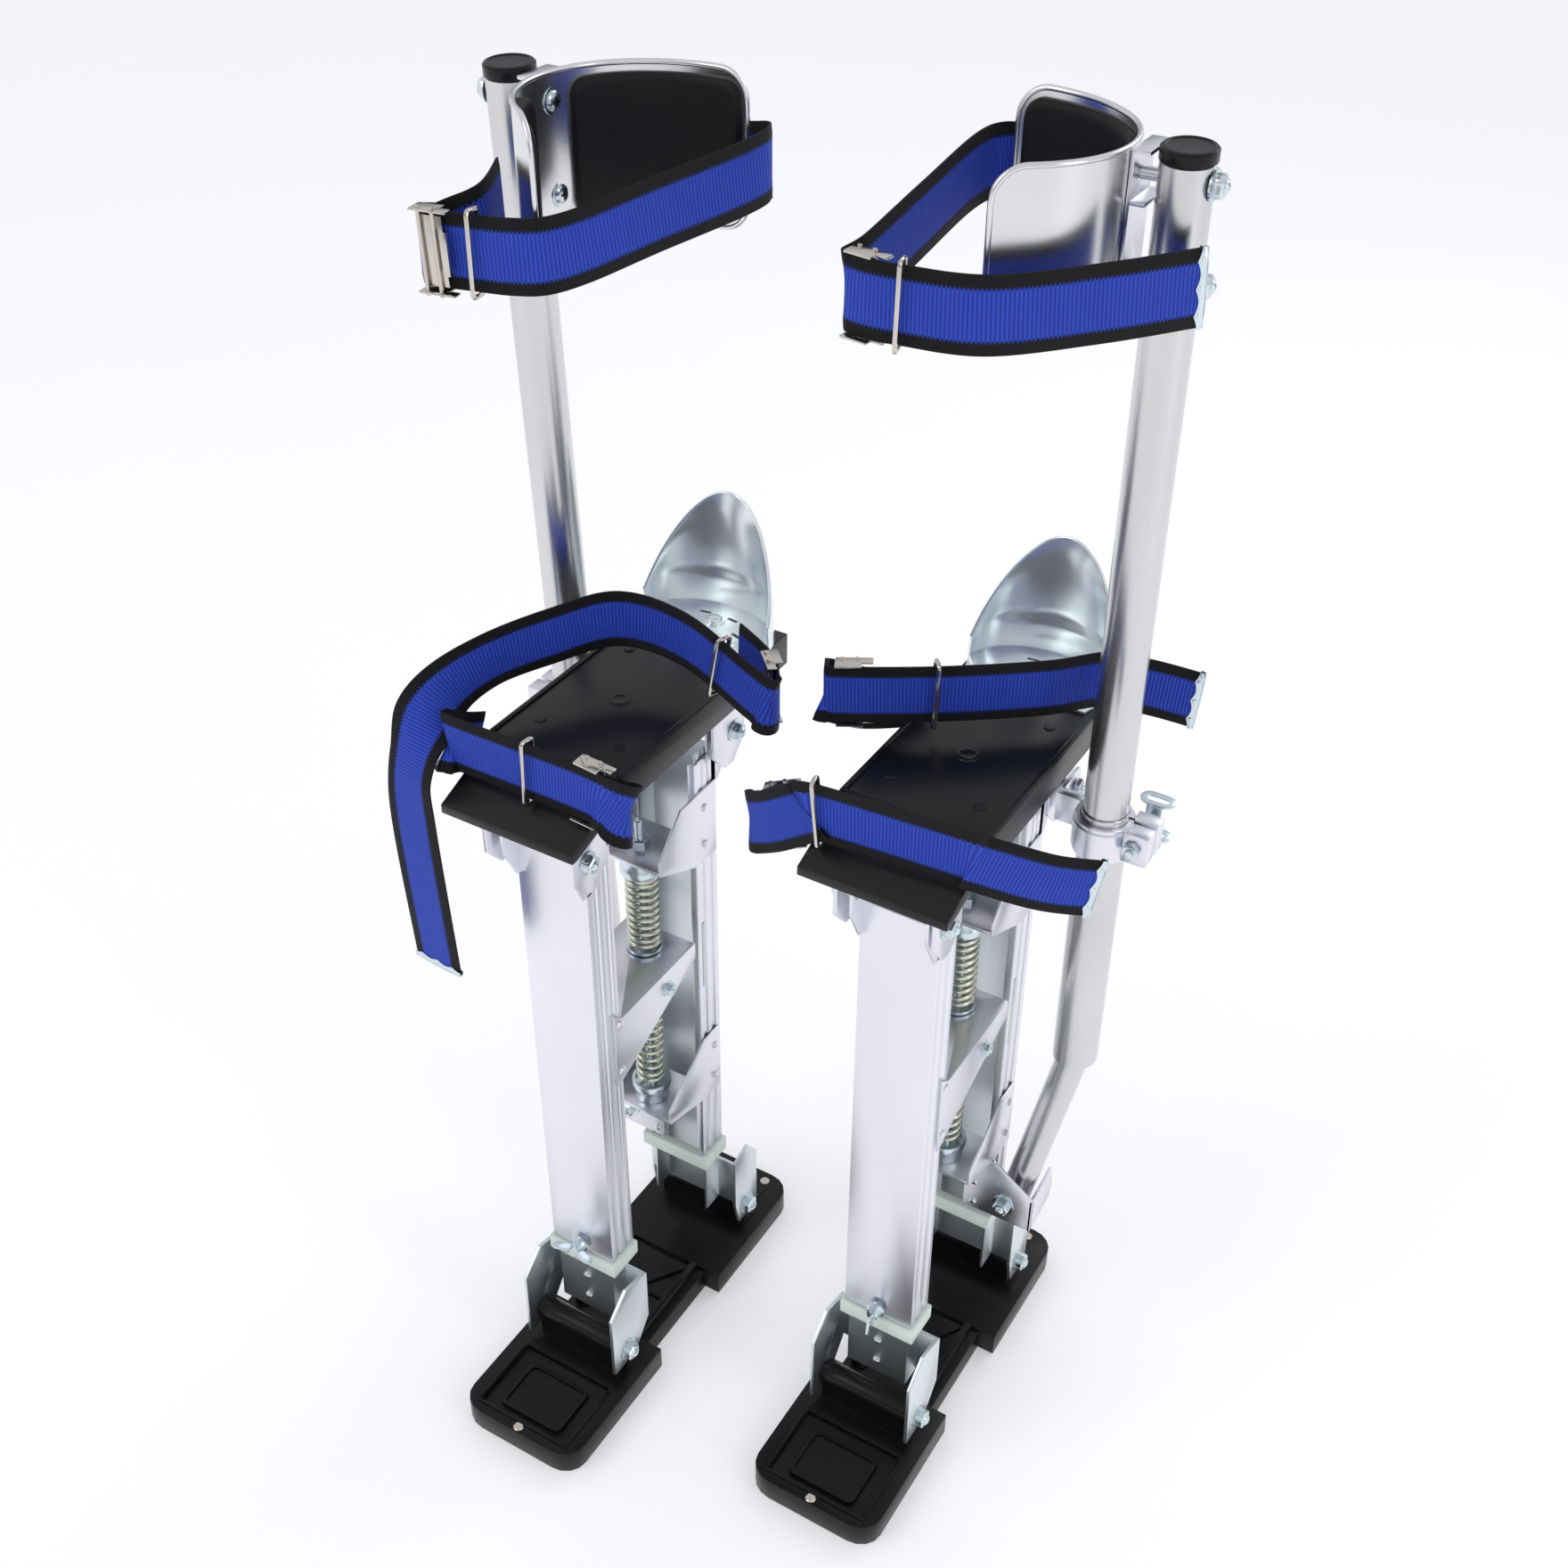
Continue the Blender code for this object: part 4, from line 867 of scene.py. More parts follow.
def spring_pieces(label):
    edge = bpy.context.scene.stilt_sizes.edge_round
    refined(label, "centre_plate", "satin_plate", "front_leg", edge)
    carrier = Shape(label)
    for z in (0.4205, 0.1955):
        carrier.body(*block(-0.0303, 0.0303, -0.045, 0.0127, z, z + 0.003), edge)
    upper = [(-0.045, 0.4205), (-0.045, 0.432), (-0.012, 0.458), (0.042, 0.458), (0.042, 0.4), (0.012, 0.4)]
    lower = [(-0.045, 0.1955), (-0.045, 0.208), (0.014, 0.24), (0.042, 0.24), (0.042, 0.183), (0.012, 0.183)]
    for outline in (upper, lower):
        for side in (-1, 1):
            carrier.body(*plate(outline, "x", *sorted((side * 0.0303, side * 0.0323))), edge)
    carrier.done("spring_carrier", "satin_plate", "rear_leg", "spring_carrier")
    rod = Shape(label)
    low, high = tall((0, ROD_Y, 0.18)), tall((0, ROD_Y, 0.445))
    rod.body(*turned(low, (0, 0, 1), rounded_profile(high.z - low.z, 0.004, 0.0006), 24))
    for k in range(12):
        rod.body(*turned(high - Vector((0, 0, 0.0022 + 0.0011 * k)), (0, 0, 1),
            [(0, 0.004), (0.0004, 0.0043), (0.0008, 0.004)], 20))
    for z, size in ((0.4232, 0.008), (0.1865, 0.0092)):
        base = tall((0, ROD_Y, z))
        rod.body(*turned(base, (0, 0, 1), [(0, size * 0.86), (0.0008, size), (0.0088, size),
            (0.0096, size * 0.86)], 6))
    top = tall((0, ROD_Y, 0.4208))
    rod.body(*turned(top, (0, 0, -1), cup_profile(0.0225, 0.0165), 40))
    base = tall((0, ROD_Y, 0.1982))
    rod.body(*turned(base, (0, 0, 1), cup_profile(0.0225, 0.0165), 40))
    rod.done("spring_rod", "zinc_plated_steel", "rear_leg")
    seat = Shape(label)
    mid = tall((0, ROD_Y, PLATE_Z))
    for sign, start in ((-1, mid.z - 0.0006), (1, mid.z + PLATE_T * HEIGHT_SCALE + 0.0006)):
        spot = Vector((0, mid.y, start))
        seat.body(*turned(spot, (0, 0, sign), [(0, 0.0047), (0, 0.0142), (0.0004, 0.0145), (0.0022, 0.0145),
            (0.0026, 0.0141), (0.0026, 0.0047)], 40, True))
    seat.body(*turned(Vector((0, mid.y, mid.z - 0.0028)), (0, 0, 1),
        [(0, 0.0047), (0, 0.0066), (0.009, 0.0066), (0.009, 0.0047)], 32, True))
    seat.done("spring_seat", "zinc_plated_steel", "spring_slide", "spring_seat")
    for name, z0, z1, radius, wire, turns in (("upper_spring", 0.3412, 0.4029, 0.0115, 0.002, 8.5),
            ("lower_spring", 0.2158, 0.3318, 0.0105, 0.0018, 15)):
        shape = Shape(label)
        shape.body(*swept(coil_run(z0, z1, radius, wire, turns), wire, 10))
        store = bpy.data.meshes.new(name)
        shape.mesh.to_mesh(store)
        shape.mesh.free()
        piece = settle(store, label + "_" + name, "spring_wire", None, label + "_" + name, 40)
        fixed, moving = (z1, z0) if name == "upper_spring" else (z0, z1)
        label + "_rear_leg"
        label + "_spring_slide"
        tuple(stand(label,
            tall((0, ROD_Y, fixed))))
        tuple(stand(label, tall((0, ROD_Y, moving))))
        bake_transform(piece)
    fasteners(label, "centre_plate_rivets", "front_leg", "rivet", [((side * 0.0323, -0.114, z), (side, 0, 0))
        for side in (-1, 1) for z in (0.335, 0.294)], "satin_plate")
    fasteners(label, "centre_plate_nuts", "front_leg", "small_nut", [((side * 0.0323, -0.04, 0.323),
        (side, 0, 0)) for side in (-1, 1)])
    fasteners(label, "spring_carrier_rivets", "rear_leg", "rivet", [((side * 0.0323, y, z), (side, 0, 0))
        for side in (-1, 1) for y, z in ((0.024, 0.444), (0.024, 0.414), (0.033, 0.226), (0.033, 0.196))],
        "satin_plate")


# ---- leg tubes
def leg_pieces(label):
    sizes = bpy.context.scene.stilt_sizes
    edge, sides = sizes.edge_round, sizes.tube_sides
    foot = BEND_FOOT
    bracket = Shape(label)
    front = [(0.008, 0.127), (0.07, 0.127), (0.07, 0.158), (0.056, 0.166), (0.033, 0.181), (0.008, 0.181)]
    bracket.body(*plate(front, "y", 0.0095, 0.0125), edge)
    wing = [(0.0095, 0.127), (0.052, 0.134), (0.056, 0.146), (0.052, 0.164), (0.0095, 0.158)]
    bracket.body(*plate(wing, "x", 0.067, 0.07), edge)
    bracket.body(*turned(tall((foot[0], 0.011, 0.143)), (0, 1, 0), [(0, 0.004), (0.037, 0.004)], 24))
    bracket.body(*turned(tall((foot[0], 0.047, 0.143)), (0, 1, 0), [(0, 0.007), (0.0006, 0.0078),
        (0.0036, 0.0078), (0.0042, 0.007)], 6))
    bracket.done("leg_tube_bracket", "satin_plate", "rear_leg", "leg_tube_bracket")
    fasteners(label, "leg_bracket_rivets", "rear_leg", "rivet", [((0.0165, 0.0095, z), (0, -1, 0))
        for z in (0.134, 0.154, 0.174)])
    fasteners(label, "leg_bracket_bolts", "rear_leg", "nut", [((foot[0], 0.0096, 0.143), (0, -1, 0))])
    fasteners(label, "leg_bracket_nuts", "rear_leg", "dome", [((foot[0], 0.0508, 0.143), (0, 1, 0))])
    lower = Shape(label)
    elbow, top = leg_point(0.3), leg_point(0.315)
    knee = (foot[0] + (elbow[0] - foot[0]) * 0.93, elbow[1] - 0.001, 0.284)
    spine = smooth_run([tall(foot), tall((foot[0] + (knee[0] - foot[0]) * 0.5,
        foot[1] + (knee[1] - foot[1]) * 0.5, foot[2] + (knee[2] - foot[2]) * 0.5)), tall(knee), tall(elbow),
        tall(top)], 10)
    lower.body(*swept(spine, BEND_R, 48))
    axis = leg_axis()
    start = leg_spot(SLEEVE_Z[0])
    length = (leg_spot(SLEEVE_Z[1]) - start).length
    lower.body(*turned(start, axis, [(0, SLEEVE_BORE - 0.0036), (0.0, SLEEVE_R - 0.0012), (0.0012, SLEEVE_R),
        (length - 0.0006, SLEEVE_R), (length, SLEEVE_R - 0.0004), (length, SLEEVE_BORE), (0.028, SLEEVE_BORE),
        (0.026, SLEEVE_BORE - 0.0036)], sides, True))
    lower.done("lower_leg_tube", "polished_aluminium", "rear_leg", "lower_leg_tube")
    clamp_piece(label, axis, sides)
    upper = Shape(label)
    start = leg_spot(0.335)
    length = (leg_spot(LEG_TOP[2]) - start).length
    upper.body(*turned(start, axis, [(0, LEG_R - 0.0018), (0, LEG_R - 0.0004), (0.0004, LEG_R),
        (length - 0.0005, LEG_R), (length, LEG_R - 0.0005), (length, LEG_R - 0.0018)], sides, True))
    upper.done("upper_leg_tube", "polished_aluminium", "calf_tube", "upper_leg_tube")
    cap = Shape(label)
    base = leg_spot(LEG_TOP[2])
    r = LEG_R + 0.0006
    cap.body(*turned(base, axis, [(-0.004, 0.0135), (0.0003, 0.0135), (0.0003, r - 0.0003), (0.0008, r),
        (0.007, r), (0.0082, r - 0.0012), (0.0085, r - 0.003), (0.0078, r - 0.0038), (0.0076, r - 0.006),
        (0.0076, 0.0006)], sides))
    cap.done("tube_cap", "black_plastic", "calf_tube", "tube_cap")


def clamp_piece(label, axis, sides):
    edge = bpy.context.scene.stilt_sizes.edge_round
    clamp = Shape(label)
    low = leg_spot(CLAMP_Z[0])
    tall_by = (leg_spot(CLAMP_Z[1]) - low).length
    bore = SLEEVE_R + 0.0003
    slit = tall(leg_point(0.487))
    cut = [(slit.x + 0.01, slit.y + 0.0018), (slit.x + 0.05, slit.y + 0.0018),
        (slit.x + 0.05, slit.y + 0.0044), (slit.x + 0.01, slit.y + 0.0044)]
    gap = ([Vector((x, y, z)) for z in (0.53, 0.6) for x, y in cut], prism_faces(4))
    clamp.body(*turned(low, axis, [(0, bore), (0, CLAMP_R - 0.0018), (0.0006, CLAMP_R - 0.0012),
        (0.0034, CLAMP_R - 0.0012), (0.004, CLAMP_R), (tall_by - 0.004, CLAMP_R),
        (tall_by - 0.0034, CLAMP_R - 0.0012), (tall_by - 0.0006, CLAMP_R - 0.0012),
        (tall_by, CLAMP_R - 0.0018), (tall_by, bore)], sides, True), 0.0, [gap])
    x, z = CLAMP_BOLT
    centre = leg_point(0.4875)
    bolt = turned(tall((x, -0.03, z)), (0, 1, 0), [(0, 0.0036), (0.12, 0.0036)], 24)
    for y0, y1 in ((centre[1] - 0.0135, centre[1] + 0.002), (centre[1] + 0.005, centre[1] + 0.0205)):
        clamp.body(*block(centre[0] + 0.0185, centre[0] + 0.0375, y0, y1, 0.477, 0.4985), edge * 1.4, [bolt])
    pin = turned(tall((0.03, REAR_PIVOT_Y, DECK_PIVOT_Z)), (1, 0, 0), [(0, PIN_CLEAR_R), (0.03, PIN_CLEAR_R)],
        24)
    clamp.body(*block(0.0425, 0.0462, 0.0405, REAR_PIVOT_Y + 0.01, 0.478, 0.4995), edge, [pin])
    clamp.body(*block(0.0428, centre[0] - 0.0178, 0.0305, 0.0405, 0.4785, 0.499), edge)
    clamp.done("tube_clamp", "satin_plate", "rear_leg", "tube_clamp")


# ---- cuffs
def cuff_spot(angle, z, reach):
    turn = math.radians(angle)
    flare = 0.003 * max(0.0, (-angle - 48.0) / 17.0) ** 2
    return tall((CUFF_CENTRE[0] + (reach + flare) * math.cos(turn),
        CUFF_CENTRE[1] + (reach + flare) * math.sin(turn), z))


def corner_drop(distance, corner):
    """How far a rounded corner lowers an edge at a distance from the end."""
    if distance >= corner:
        return 0.0
    return corner - math.sqrt(max(0.0, corner * corner - (corner - distance) ** 2))


def eased(count, bias=0.55):
    """Stations from 0 to 1, closer together near both ends."""
    return [(1 - bias) * k / count + bias * (0.5 - 0.5 * math.cos(math.pi * k / count))
        for k in range(count + 1)]


def wall_grid(angles, z0, z1, corner, columns, rows):
    """Rows of (angle, z, edge distance) that fill a wing with rounded corners."""
    grid = []
    arc = math.radians(angles[1] - angles[0]) * CUFF_R
    for s in eased(columns, 0.85):
        angle = angles[0] + (angles[1] - angles[0]) * s
        inward = min(s, 1 - s) * arc
        drop = corner_drop(inward, corner) / HEIGHT_SCALE
        line = []
        for t in eased(rows, 0.5):
            z = z0 + drop + (z1 - z0 - 2 * drop) * t
            up = min(t, 1 - t) * (z1 - z0 - 2 * drop) * HEIGHT_SCALE
            line.append((angle, z, min(inward + 0.0005, up)))
        grid.append(line)
    return grid


def sheet_faces(columns, rows):
    """Faces of a closed wall between two grids of (columns + 1) by (rows + 1) points."""
    ring = rows + 1
    layer = (columns + 1) * ring
    faces = []
    for i in range(columns):
        for j in range(rows):
            a = i * ring + j
            faces.append((a, a + 1, a + 1 + ring, a + ring))
            faces.append((a + layer, a + layer + ring, a + layer + ring + 1, a + layer + 1))
    for i in range(columns):
        for j in (0, rows):
            a = i * ring + j
            faces.append((a, a + ring, a + ring + layer, a + layer))
    for j in range(rows):
        for i in (0, columns):
            a = i * ring + j
            faces.append((a, a + 1, a + 1 + layer, a + layer))
    return faces


def cuff_pieces(label):
    sizes = bpy.context.scene.stilt_sizes
    shell = Shape(label)
    columns, rows = 72, 16
    grid = wall_grid(CUFF_ANGLES, *CUFF_Z, sizes.cuff_corner, columns, rows)
    verts = [cuff_spot(a, z, reach) for reach in (CUFF_R, CUFF_R - CUFF_T) for line in grid
        for a, z, _ in line]
    shell.body(verts, sheet_faces(columns, rows))
    loop = [line[0] for line in grid] + grid[-1][1:-1] + [line[-1] for line in reversed(grid)]
    loop += grid[0][-2:0:-1]
    rim = [cuff_spot(a, z, CUFF_R - CUFF_T / 2) for a, z, _ in loop]
    shell.body(*swept(rim, 0.0019, 10, True))
    shell.done("cuff_shell", "cuff_aluminium", "calf_tube", "cuff_shell", 50)
    for name, angles, corner in (("rear_cuff_pad", REAR_PAD, 0.012), ("front_cuff_pad", FRONT_PAD, 0.014)):
        pad = Shape(label)
        columns, rows = 40, 24
        grid = wall_grid(angles, CUFF_Z[0] + 0.005, CUFF_Z[1] - 0.005, corner, columns, rows)
        outer = CUFF_R - CUFF_T - 0.0003
        verts = [cuff_spot(a, z, outer) for line in grid for a, z, _ in line]
        for line in grid:
            for a, z, inward in line:
                near = min(inward / 0.0045, 1.0)
                crown = 0.55 + 0.45 * math.sqrt(1 - (1 - near) ** 2)
                verts.append(cuff_spot(a, z, outer - PAD_T * crown - 0.0006 * min(inward / 0.03, 1.0)))
        pad.body(verts, sheet_faces(columns, rows))
        piece = pad.done(name, "pad_rubber", "calf_tube", name, 60)
    refined(label, "cuff_bracket", "satin_plate", "calf_tube", sizes.edge_round)
    inside = CUFF_CENTRE[0] + CUFF_R - CUFF_T
    spots = [((inside, leg_point(z)[1], z), (-1, 0, 0)) for z in CUFF_BOLTS_Z]
    fasteners(label, "cuff_screws", "calf_tube", "pan_screw", spots)
    # black crosses painted on the screw heads as the shade in their cross recesses
    cross_slot_shade(label, spots)
    fasteners(label, "cuff_nuts", "calf_tube", "nut", [((leg_point(z)[0] + LEG_R, leg_point(z)[1], z),
        (1, 0, 0)) for z in CUFF_BOLTS_Z])


def cross_slot_shade(label, spots):
    """Dark cross recess in each screw head."""
    shape = Shape(label)
    for (x, y, z), _ in spots:
        spot = tall((x, y, z))
        for dy, dz in ((0.003, 0.0007), (0.0007, 0.003)):
            verts = [spot + Vector((dx, sy * dy, sz * dz)) for dx in (-0.003, -0.0038)
                for sy, sz in ((-1, -1), (1, -1), (1, 1), (-1, 1))]
            # painted shade: a black box where the recess would lie in shadow
            shape.body(verts, prism_faces(4))
    shape.done("cuff_screw_slot_shade", "black_plastic", "calf_tube")


# ---- decks and heel cups
def heel_spot(turn, rise, skin):
    """Point on the heel plate: turn runs from one side round the heel to the other, rise from foot to rim."""
    lift = math.sin(turn)
    height = 0.016 + 0.067 * max(lift, 0.0) ** 1.12
    spread = 1.0 - 0.16 * rise * rise * max(lift, 0.0) - 0.02 * rise
    flare = 0.0022 * max(0.0, (rise - 0.8) / 0.2) ** 2
    step = (rise * height - 0.025) / 0.0014
    crown = 0.0022 * lift / (1.0 + math.exp(-max(-30.0, min(30.0, step))))
    out = flare + crown + 0.0016 * lift * math.exp(-(step * 0.7) ** 2)
    x = -(0.056 - skin + out * 0.3) * math.cos(turn) * spread
    y = 0.086 + (0.044 - skin + out) * lift * (1 - 0.1 * rise * rise)
    return tall((x, y, DECK_TOP + 0.0003 + height * rise))


def deck_pieces(label):
    sizes = bpy.context.scene.stilt_sizes
    refined(label, "foot_deck", "deck_plastic", "deck_group", sizes.mould_round)
    border = Shape(label)
    for side in (-1, 1):
        border.body(*block(*sorted((side * 0.0508, side * 0.0545)), -0.129, 0.055, 0.5445, 0.5462), 0.0006)
    border.body(*block(-0.0545, 0.0545, -0.1318, -0.129, 0.5445, 0.5462), 0.0006)
    border.body(*turned(tall((0, -0.04, 0.5448)), (0, 0, 1), [(0, 0.0085), (0.001, 0.0078), (0.0014, 0.006),
        (0.0006, 0.0045), (0.0006, 0.0005)], 36))
    border.done("deck_border", "deck_plastic", "deck_group")
    fasteners(label, "deck_screws", "deck_group", "dark_screw", [((x, y, 0.545), (0, 0, 1))
        for x in (-0.0335, 0.0335) for y in (-0.095, 0.028)], "deck_plastic")
    for name in ("front_deck_bracket", "rear_deck_bracket"):
        refined(label, name, "satin_plate", "deck_group", sizes.edge_round)
    fasteners(label, "deck_pivot_nuts", "deck_group", "nut", [((side * 0.0386, FRONT_PIVOT_Y, DECK_PIVOT_Z),
        (side, 0, 0)) for side in (-1, 1)] + [((-0.0386, REAR_PIVOT_Y, DECK_PIVOT_Z), (-1, 0, 0))])
    fasteners(label, "deck_pivot_ends", "deck_group", "dome", [((0.051, REAR_PIVOT_Y, DECK_PIVOT_Z),
        (1, 0, 0))])
    cup = Shape(label)
    columns, rows, wall = 64, 22, 0.0016
    verts = [heel_spot(math.pi * i / columns, j / rows, skin) for skin in (0.0, wall)
        for i in range(columns + 1) for j in range(rows + 1)]
    cup.body(verts, sheet_faces(columns, rows))
    rim = [heel_spot(math.pi * i / columns, 1.0, wall / 2) for i in range(columns + 1)]
    cup.body(*swept(rim, 0.0012, 8))
    outline = [(0.0475, 0.058)]
    for k in range(25):
        turn = math.radians(180.0 * k / 24)
        outline.append((0.055 * math.cos(turn), 0.086 + 0.043 * math.sin(turn)))
    outline.append((-0.0475, 0.058))
    slots = []
    for x, y, turn in ((-0.026, 0.088, 20), (0.026, 0.088, -20), (-0.012, 0.108, 8), (0.012, 0.108, -8)):
        spin = math.radians(turn)
        corners = []
        for dx, dy in ((-0.0045, -0.0016), (0.0045, -0.0016), (0.0045, 0.0016), (-0.0045, 0.0016)):
            corners.append((x + dx * math.cos(spin) - dy * math.sin(spin),
                y + dx * math.sin(spin) + dy * math.cos(spin)))
        slots.append(plate(corners, "z", 0.54, 0.552))
    cup.body(*plate(outline, "z", DECK_TOP + 0.0003, DECK_TOP + 0.0021), 0.0003, slots)
    cup.done("heel_cup", "galvanised_steel", "deck_group", "heel_cup", 42)
    fasteners(label, "heel_screws", "deck_group", "pan_screw", [((x, y, DECK_TOP + 0.002), (0, 0, 1))
        for x, y in ((-0.034, 0.07), (0.034, 0.07), (0.0, 0.1))], "galvanised_steel")


# ---- straps
UP = (0, 0, 1)


# Each strap runs through these points of the layout.
ROUTES = {
    ("calf", "right"): [(0.064, -0.048, 0.846), (0.05, -0.087, 0.843), (0.064, -0.104, 0.835),
        (0.078, -0.11, 0.833), (0.074, -0.118, 0.833), (0.04, -0.113, 0.834), (0.017, -0.107, 0.8345),
        (0.0, -0.095, 0.835), (-0.0125, -0.068, 0.837), (-0.03, -0.016, 0.843), (-0.053, 0.056, 0.85),
        (-0.056, 0.086, 0.853), (-0.038, 0.096, 0.85), (0.005, 0.09, 0.846)],
    ("calf", "left"): [(-0.012, 0.085, 0.857), (-0.036, 0.085, 0.858), (-0.056, 0.081, 0.858),
        (-0.062, 0.05, 0.857), (-0.06, -0.03, 0.85), (-0.062, -0.098, 0.84), (-0.066, -0.118, 0.836),
        (-0.056, -0.124, 0.835), (-0.03, -0.123, 0.835), (0.02, -0.112, 0.836), (0.07, -0.064, 0.839),
        (0.11, -0.016, 0.842)],
    ("toe", "right"): [(0.059, -0.138, 0.54), (0.061, -0.16, 0.548), (0.052, -0.169, 0.5535),
        (-0.045, -0.169, 0.5535), (-0.07, -0.166, 0.548), (-0.078, -0.156, 0.54), (-0.07, -0.144, 0.535),
        (-0.059, -0.136, 0.534)],
    ("toe", "left"): [(0.126, -0.118, 0.532), (0.1, -0.14, 0.538), (0.065, -0.164, 0.55),
        (0.045, -0.17, 0.5535), (-0.045, -0.175, 0.552), (-0.06, -0.175, 0.548), (-0.086, -0.172, 0.532),
        (-0.105, -0.164, 0.521), (-0.107, -0.155, 0.519), (-0.093, -0.148, 0.52), (-0.059, -0.136, 0.53)],
    ("heel", "right"): [(-0.059, 0.035, 0.568), (-0.095, 0.015, 0.566), (-0.115, -0.01, 0.567),
        (-0.116, -0.026, 0.57), (-0.1, -0.026, 0.575), (-0.04, -0.012, 0.588), (0.01, -0.02, 0.592),
        (0.04, -0.065, 0.589), (0.064, -0.115, 0.584), (0.079, -0.155, 0.57), (0.085, -0.182, 0.54),
        (0.085, -0.19, 0.5), (0.08, -0.188, 0.385)],
    ("heel", "left"): [(-0.059, 0.005, 0.547), (-0.08, -0.033, 0.556), (-0.096, -0.059, 0.568),
        (-0.098, -0.068, 0.573), (-0.088, -0.07, 0.574), (-0.03, -0.034, 0.576), (0.03, 0.018, 0.576),
        (0.06, 0.056, 0.575), (0.09, 0.066, 0.574), (0.123, 0.072, 0.572)],
}
TWISTS = {("heel", "right"): {9: (0.3, 0.2, 1), 10: (0.8, 0.3, 0.4), 11: (1, 0.1, 0), 12: (1, 0.1, 0)}}


class Band:
    """A strap's run: centre points and the frame at each."""

    def __init__(self, label, kind, half):
        points = ROUTES[kind, label]
        twists = TWISTS.get((kind, label), {})
        widths = [Vector(twists.get(k, UP)).normalized() for k in range(len(points))]
        self.label = label
        self.half = half * HEIGHT_SCALE
        self.spots = smooth_run([tall(p) for p in points], 10)
        self.widths = [w.normalized() for w in smooth_run(widths, 10)]
        self.run = [0.0]
        for a, b in zip(self.spots, self.spots[1:]):
            self.run.append(self.run[-1] + (b - a).length)

    def frame(self, k):
        before, after = self.spots[max(k - 1, 0)], self.spots[min(k + 1, len(self.spots) - 1)]
        along = (after - before).normalized()
        out = along.cross(self.widths[k]).normalized()
        return self.spots[k], along, out, out.cross(along).normalized()

    def nearest(self, point, first=0, last=None):
        spot = tall(point)
        keys = range(first, last or len(self.spots))
        return min(keys, key=lambda k: (self.spots[k] - spot).length)

    def mesh(self, across=8):
        """Woven band with rounded edges; u runs along it in metres, v across it."""
        verts, uvs = [], []
        section = []
        for side in (-1, 1):
            steps = range(across + 1) if side < 0 else reversed(range(across + 1))
            for j in steps:
                share = j / across
                thin = 0.55 if j in (0, across) else 1.0
                section.append((side * STRAP_T / 2 * thin, share))
        for k in range(len(self.spots)):
            spot, _, out, up = self.frame(k)
            for lift, share in section:
                verts.append(spot + out * lift + up * (self.half * (2 * share - 1)))
                uvs.append((self.run[k], share))
        return verts, ring_faces(len(self.spots), len(section)), uvs


def oriented(frame_, offsets):
    """Points given as (along, out, up) from a strap frame."""
    spot, along, out, up = frame_
    return [spot + along * a + out * o + up * u for a, o, u in offsets]


def hoop(shape, band, k, lean):
    """Wire hoop round the band."""
    frame_ = band.frame(k)
    h, w, r = band.half + 0.0028, 0.005, 0.0016
    corner = 0.0022
    offsets = []
    for cu, co, start in ((h - corner, w - corner, 0), (-h + corner, w - corner, 90),
            (-h + corner, -w + corner, 180), (h - corner, -w + corner, 270)):
        for step in range(5):
            turn = math.radians(start + 90 * step / 4)
            u, o = cu + corner * math.cos(turn), co + corner * math.sin(turn)
            offsets.append((lean * o + lean * 0.3 * u, o, u))
    shape.body(*swept(oriented(frame_, offsets), r, 10, True))


def frame_box(shape, frame_, a0, a1, o0, o1, u0, u1, soft=0.0004):
    verts = oriented(frame_, [(a, o, u) for u in (u0, u1) for a, o in ((a0, o0), (a1, o0), (a1, o1),
        (a0, o1))])
    shape.body(verts, prism_faces(4), soft)


def lever(shape, band, k, face):
    """Stamped cam lever with two pivot cheeks and a bent tongue, on one face of the band."""
    frame_ = band.frame(k)
    w = band.half * 0.92
    f = face
    frame_box(shape, frame_, -0.008, 0.009, *sorted((f * 0.0034, f * 0.0046)), -w, w)
    frame_box(shape, frame_, 0.0088, 0.013, *sorted((f * 0.0042, f * 0.0078)), -w * 0.62, w * 0.62)
    edge = band.half + 0.0009
    for u in (-edge - 0.0016, edge):
        frame_box(shape, frame_, -0.011, 0.0075, *sorted((f * -0.0036, f * 0.0086)), u, u + 0.0016, 0.0006)
        frame_box(shape, frame_, 0.005, 0.015, *sorted((f * 0.002, f * 0.0086)), u, u + 0.0016, 0.0006)
    reach = edge + 0.003
    for a, o in ((-0.006, 0.0056), (0.004, 0.006)):
        bar = oriented(frame_, [(a, f * o, -reach), (a, f * o, reach)])
        shape.body(*swept(bar, 0.0014, 12))


def tip(shape, band, end):
    """Crimped tip plate with a scalloped edge and a rolled lip."""
    k = 0 if end < 0 else len(band.spots) - 1
    frame_ = band.frame(k)
    w = band.half + 0.0008
    outline = [(-0.0052 + 0.0022 * abs(math.cos(3 * math.pi * j / 24)), -w + 2 * w * j / 24)
        for j in range(25)]
    outline += [(0.0016 - 0.0018 * abs(u / w) ** 4, u) for u in (w, w * 0.6, 0.0, -w * 0.6, -w)]
    for o in (-STRAP_T / 2 - 0.0007, STRAP_T / 2 + 0.0001):
        verts = oriented(frame_, [(end * a, o + lift, u) for lift in (0.0, 0.0006) for a, u in outline])
        shape.body(verts, prism_faces(len(outline)), 0.0001)
    frame_box(shape, frame_, *sorted((end * 0.0002, end * 0.0014)), -STRAP_T / 2 - 0.0007,
        STRAP_T / 2 + 0.0007, -w * 0.98, w * 0.98, 0.0003)
    for u in (-w * 0.66, 0.0, w * 0.66):
        spot = oriented(frame_, [(-end * 0.0022, 0.0, u)])[0]
        for sign in (-1, 1):
            shape.body(*turned(spot + frame_[2] * sign * (STRAP_T / 2 + 0.0005), frame_[2] * sign,
                [(0, 0.0019), (0.0005, 0.0016), (0.0008, 0.0008)], 16))


